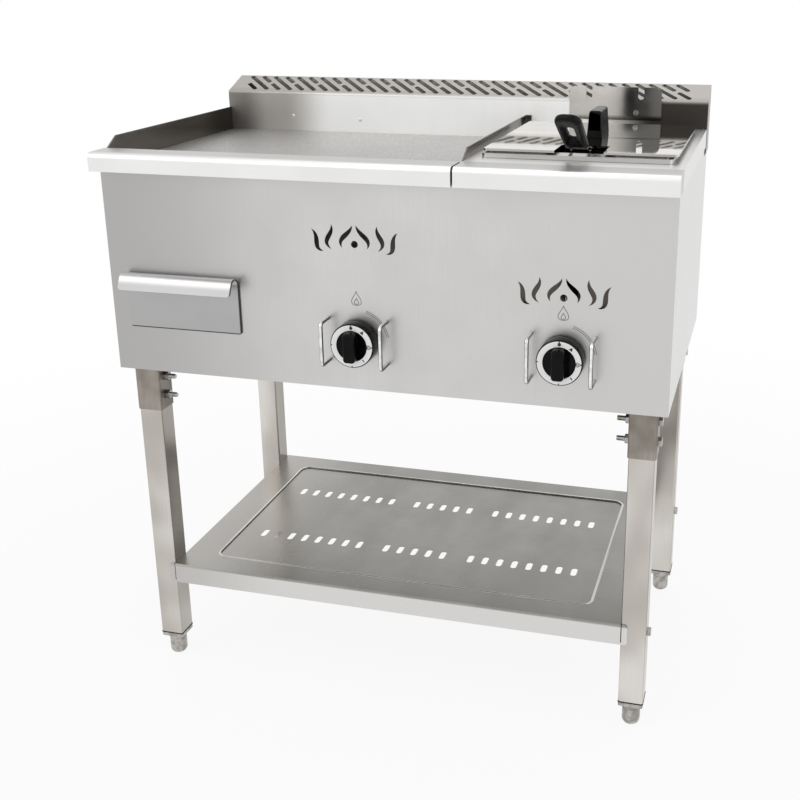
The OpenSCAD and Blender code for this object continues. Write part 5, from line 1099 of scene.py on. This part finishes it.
class STATION_OT_grease_drawer(bpy.types.Operator):
    """Finishes the grease drawer's front and tray"""
    bl_idname = "station.grease_drawer"
    bl_label = "Grease drawer"

    def execute(self, context):
        finish_node("drawer_front", "brushed_stainless_drawer")
        finish_node("drawer_tray", "galvanised_mill_sheet", sizes().fold_radius / MM)
        return {"FINISHED"}


class STATION_OT_gas_parts(bpy.types.Operator):
    """Finishes the gas pipes and burners"""
    bl_idname = "station.gas_parts"
    bl_label = "Gas parts"

    def execute(self, context):
        finish_nodes("drawn_gas_pipe", ["gas_manifold", "gas_inlet"])
        finish_node("burner_feed_pipes", "soft_aluminium_pipe")
        finish_nodes("heat_tinted_burner_steel", ["griddle_burner", "fryer_burner"])
        return {"FINISHED"}


class STATION_OT_stage(bpy.types.Operator):
    """Makes the pale floor, the soft lamps, the white surroundings and the camera"""
    bl_idname = "station.stage"
    bl_label = "Stage"

    # Each lamp's name, place, target and width in metres, and its power in watts.
    LAMPS = (
        ("key_softbox", (-2.4, -3.0, 3.2), (0, 0, 0.6), 3.2, 42),
        ("fill_softbox", (3.2, -1.6, 1.8), (0.1, 0, 0.5), 2.4, 18),
        ("top_softbox", (0.2, 0.5, 3.6), (0, 0, 0.8), 2.6, 18),
    )
    # The camera: its place in metres, its angles in degrees, its lens in mm and its shift.
    CAMERA_AT = (0.5469, -1.7378, 1.1161)
    AZIMUTH, ELEVATION, ROLL = 15.23, 18.36, -0.25
    LENS, SENSOR, SHIFT = 51.83, 36, (-0.0844, -0.0613)
    # Depth of the floor under the feet in metres, its grid lines, and the world's light on matt surfaces.
    FLOOR_DROP, FLOOR_LINES, MATT_LIGHT = 0.0004, 9, 0.5

    def execute(self, context):
        scene = context.scene
        scene.view_settings.view_transform = "Standard"
        self.floor(scene)
        self.surroundings(scene)
        for name, location, target, width, power in self.LAMPS:
            lamp = bpy.data.lights.new(name, "AREA")
            lamp.size, lamp.energy = width, power
            thing = bpy.data.objects.new(name, lamp)
            thing.matrix_world = self.looking(location, np.array(target) - location, 0)
            scene.collection.objects.link(thing)
        self.camera(scene)
        return {"FINISHED"}

    @staticmethod
    def looking(location, aim, roll):
        """Matrix at a location whose -Z axis looks along aim, turned by roll degrees about it."""
        forward = unit(aim)
        right = unit(np.cross(forward, (0, 0, 1)))
        up = np.cross(right, forward)
        a = math.radians(roll)
        across, above = right * math.cos(a) + up * math.sin(a), up * math.cos(a) - right * math.sin(a)
        matrix = Matrix.Identity(4)
        for column, axis in enumerate((across, above, -forward, location)):
            for row in range(3):
                matrix[row][column] = axis[row]
        return matrix

    def camera(self, scene):
        """Camera at the photograph's angle."""
        view = bpy.data.cameras.new("photograph_view")
        view.lens, view.sensor_width = self.LENS, self.SENSOR
        view.shift_x, view.shift_y = self.SHIFT
        view.clip_start, view.clip_end = 0.05, 60
        thing = bpy.data.objects.new("photograph_view", view)
        azimuth, elevation = math.radians(self.AZIMUTH), math.radians(self.ELEVATION)
        aim = (-math.sin(azimuth) * math.cos(elevation), math.cos(azimuth) * math.cos(elevation),
               -math.sin(elevation))
        thing.matrix_world = self.looking(np.array(self.CAMERA_AT), aim, self.ROLL)
        scene.collection.objects.link(thing)
        scene.camera = thing

    def floor(self, scene):
        """Pale floor that keeps the shadow near the object and turns to plain white further off."""
        half = sizes().floor_size / 2
        line = np.linspace(-half, half, self.FLOOR_LINES)
        x, y = np.meshgrid(line, line, indexing="ij")
        grid = np.stack([x, y, np.full_like(x, -self.FLOOR_DROP)], -1)
        faces = cells(self.FLOOR_LINES, self.FLOOR_LINES, False, False)
        mesh = bpy.data.meshes.new("studio_floor")
        mesh.from_pydata(grid.reshape(-1, 3).tolist(), [], faces.tolist())
        mesh.materials.append(material_named("pale_studio_floor"))
        thing = bpy.data.objects.new("studio_floor", mesh)
        scene.collection.objects.link(thing)

    def surroundings(self, scene):
        """White all round for the camera and for reflections, and a softer level on matt surfaces."""
        world = bpy.data.worlds.new("white_studio")
        world.use_nodes = True
        tree = world.node_tree
        tree.nodes.clear()
        path = add_node(tree, "ShaderNodeLightPath")
        seen = path.outputs["Is Camera Ray"]
        for ray in ("Is Glossy Ray", "Is Transmission Ray"):
            either = add_node(tree, "ShaderNodeMath", {0: seen, 1: path.outputs[ray]}, operation="MAXIMUM")
            seen = either.outputs[0]
        matt, white = (add_node(tree, "ShaderNodeBackground", {"Color": (1, 1, 1, 1), "Strength": strength})
                       for strength in (self.MATT_LIGHT, 1.0))
        mixed = add_node(tree, "ShaderNodeMixShader", {0: seen, 1: matt.outputs[0], 2: white.outputs[0]})
        add_node(tree, "ShaderNodeOutputWorld", {"Surface": mixed.outputs[0]})
        scene.world = world


OPERATORS = (STATION_OT_sheet_metal, STATION_OT_griddle, STATION_OT_stand, STATION_OT_controls,
             STATION_OT_fryer, STATION_OT_grease_drawer, STATION_OT_gas_parts, STATION_OT_stage)


class STATION_PT_pieces(bpy.types.Panel):
    """Sidebar panel with the sizes, the colours and one button for each group of pieces"""
    bl_idname = "STATION_PT_pieces"
    bl_label = "Griddle and fryer station"
    bl_space_type = "VIEW_3D"
    bl_region_type = "UI"
    bl_category = "Station"

    def draw(self, context):
        for group in (context.scene.station_sizes, context.scene.station_colours):
            column = self.layout.column()
            for key in group.__annotations__:
                column.prop(group, key)
        for operator in OPERATORS:
            self.layout.operator(operator.bl_idname)


CLASSES = (StationSizes, StationColours, *OPERATORS, STATION_PT_pieces)


def register():
    for entry in CLASSES:
        bpy.utils.register_class(entry)
    bpy.types.Scene.station_sizes = bpy.props.PointerProperty(type=StationSizes)
    bpy.types.Scene.station_colours = bpy.props.PointerProperty(type=StationColours)


def unregister():
    del bpy.types.Scene.station_colours
    del bpy.types.Scene.station_sizes
    for entry in reversed(CLASSES):
        bpy.utils.unregister_class(entry)


def main():
    """Registers the classes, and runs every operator."""
    register()
    for operator in OPERATORS:
        group, name = operator.bl_idname.split(".")
        getattr(getattr(bpy.ops, group), name)()


if __name__ == "__main__":
    main()
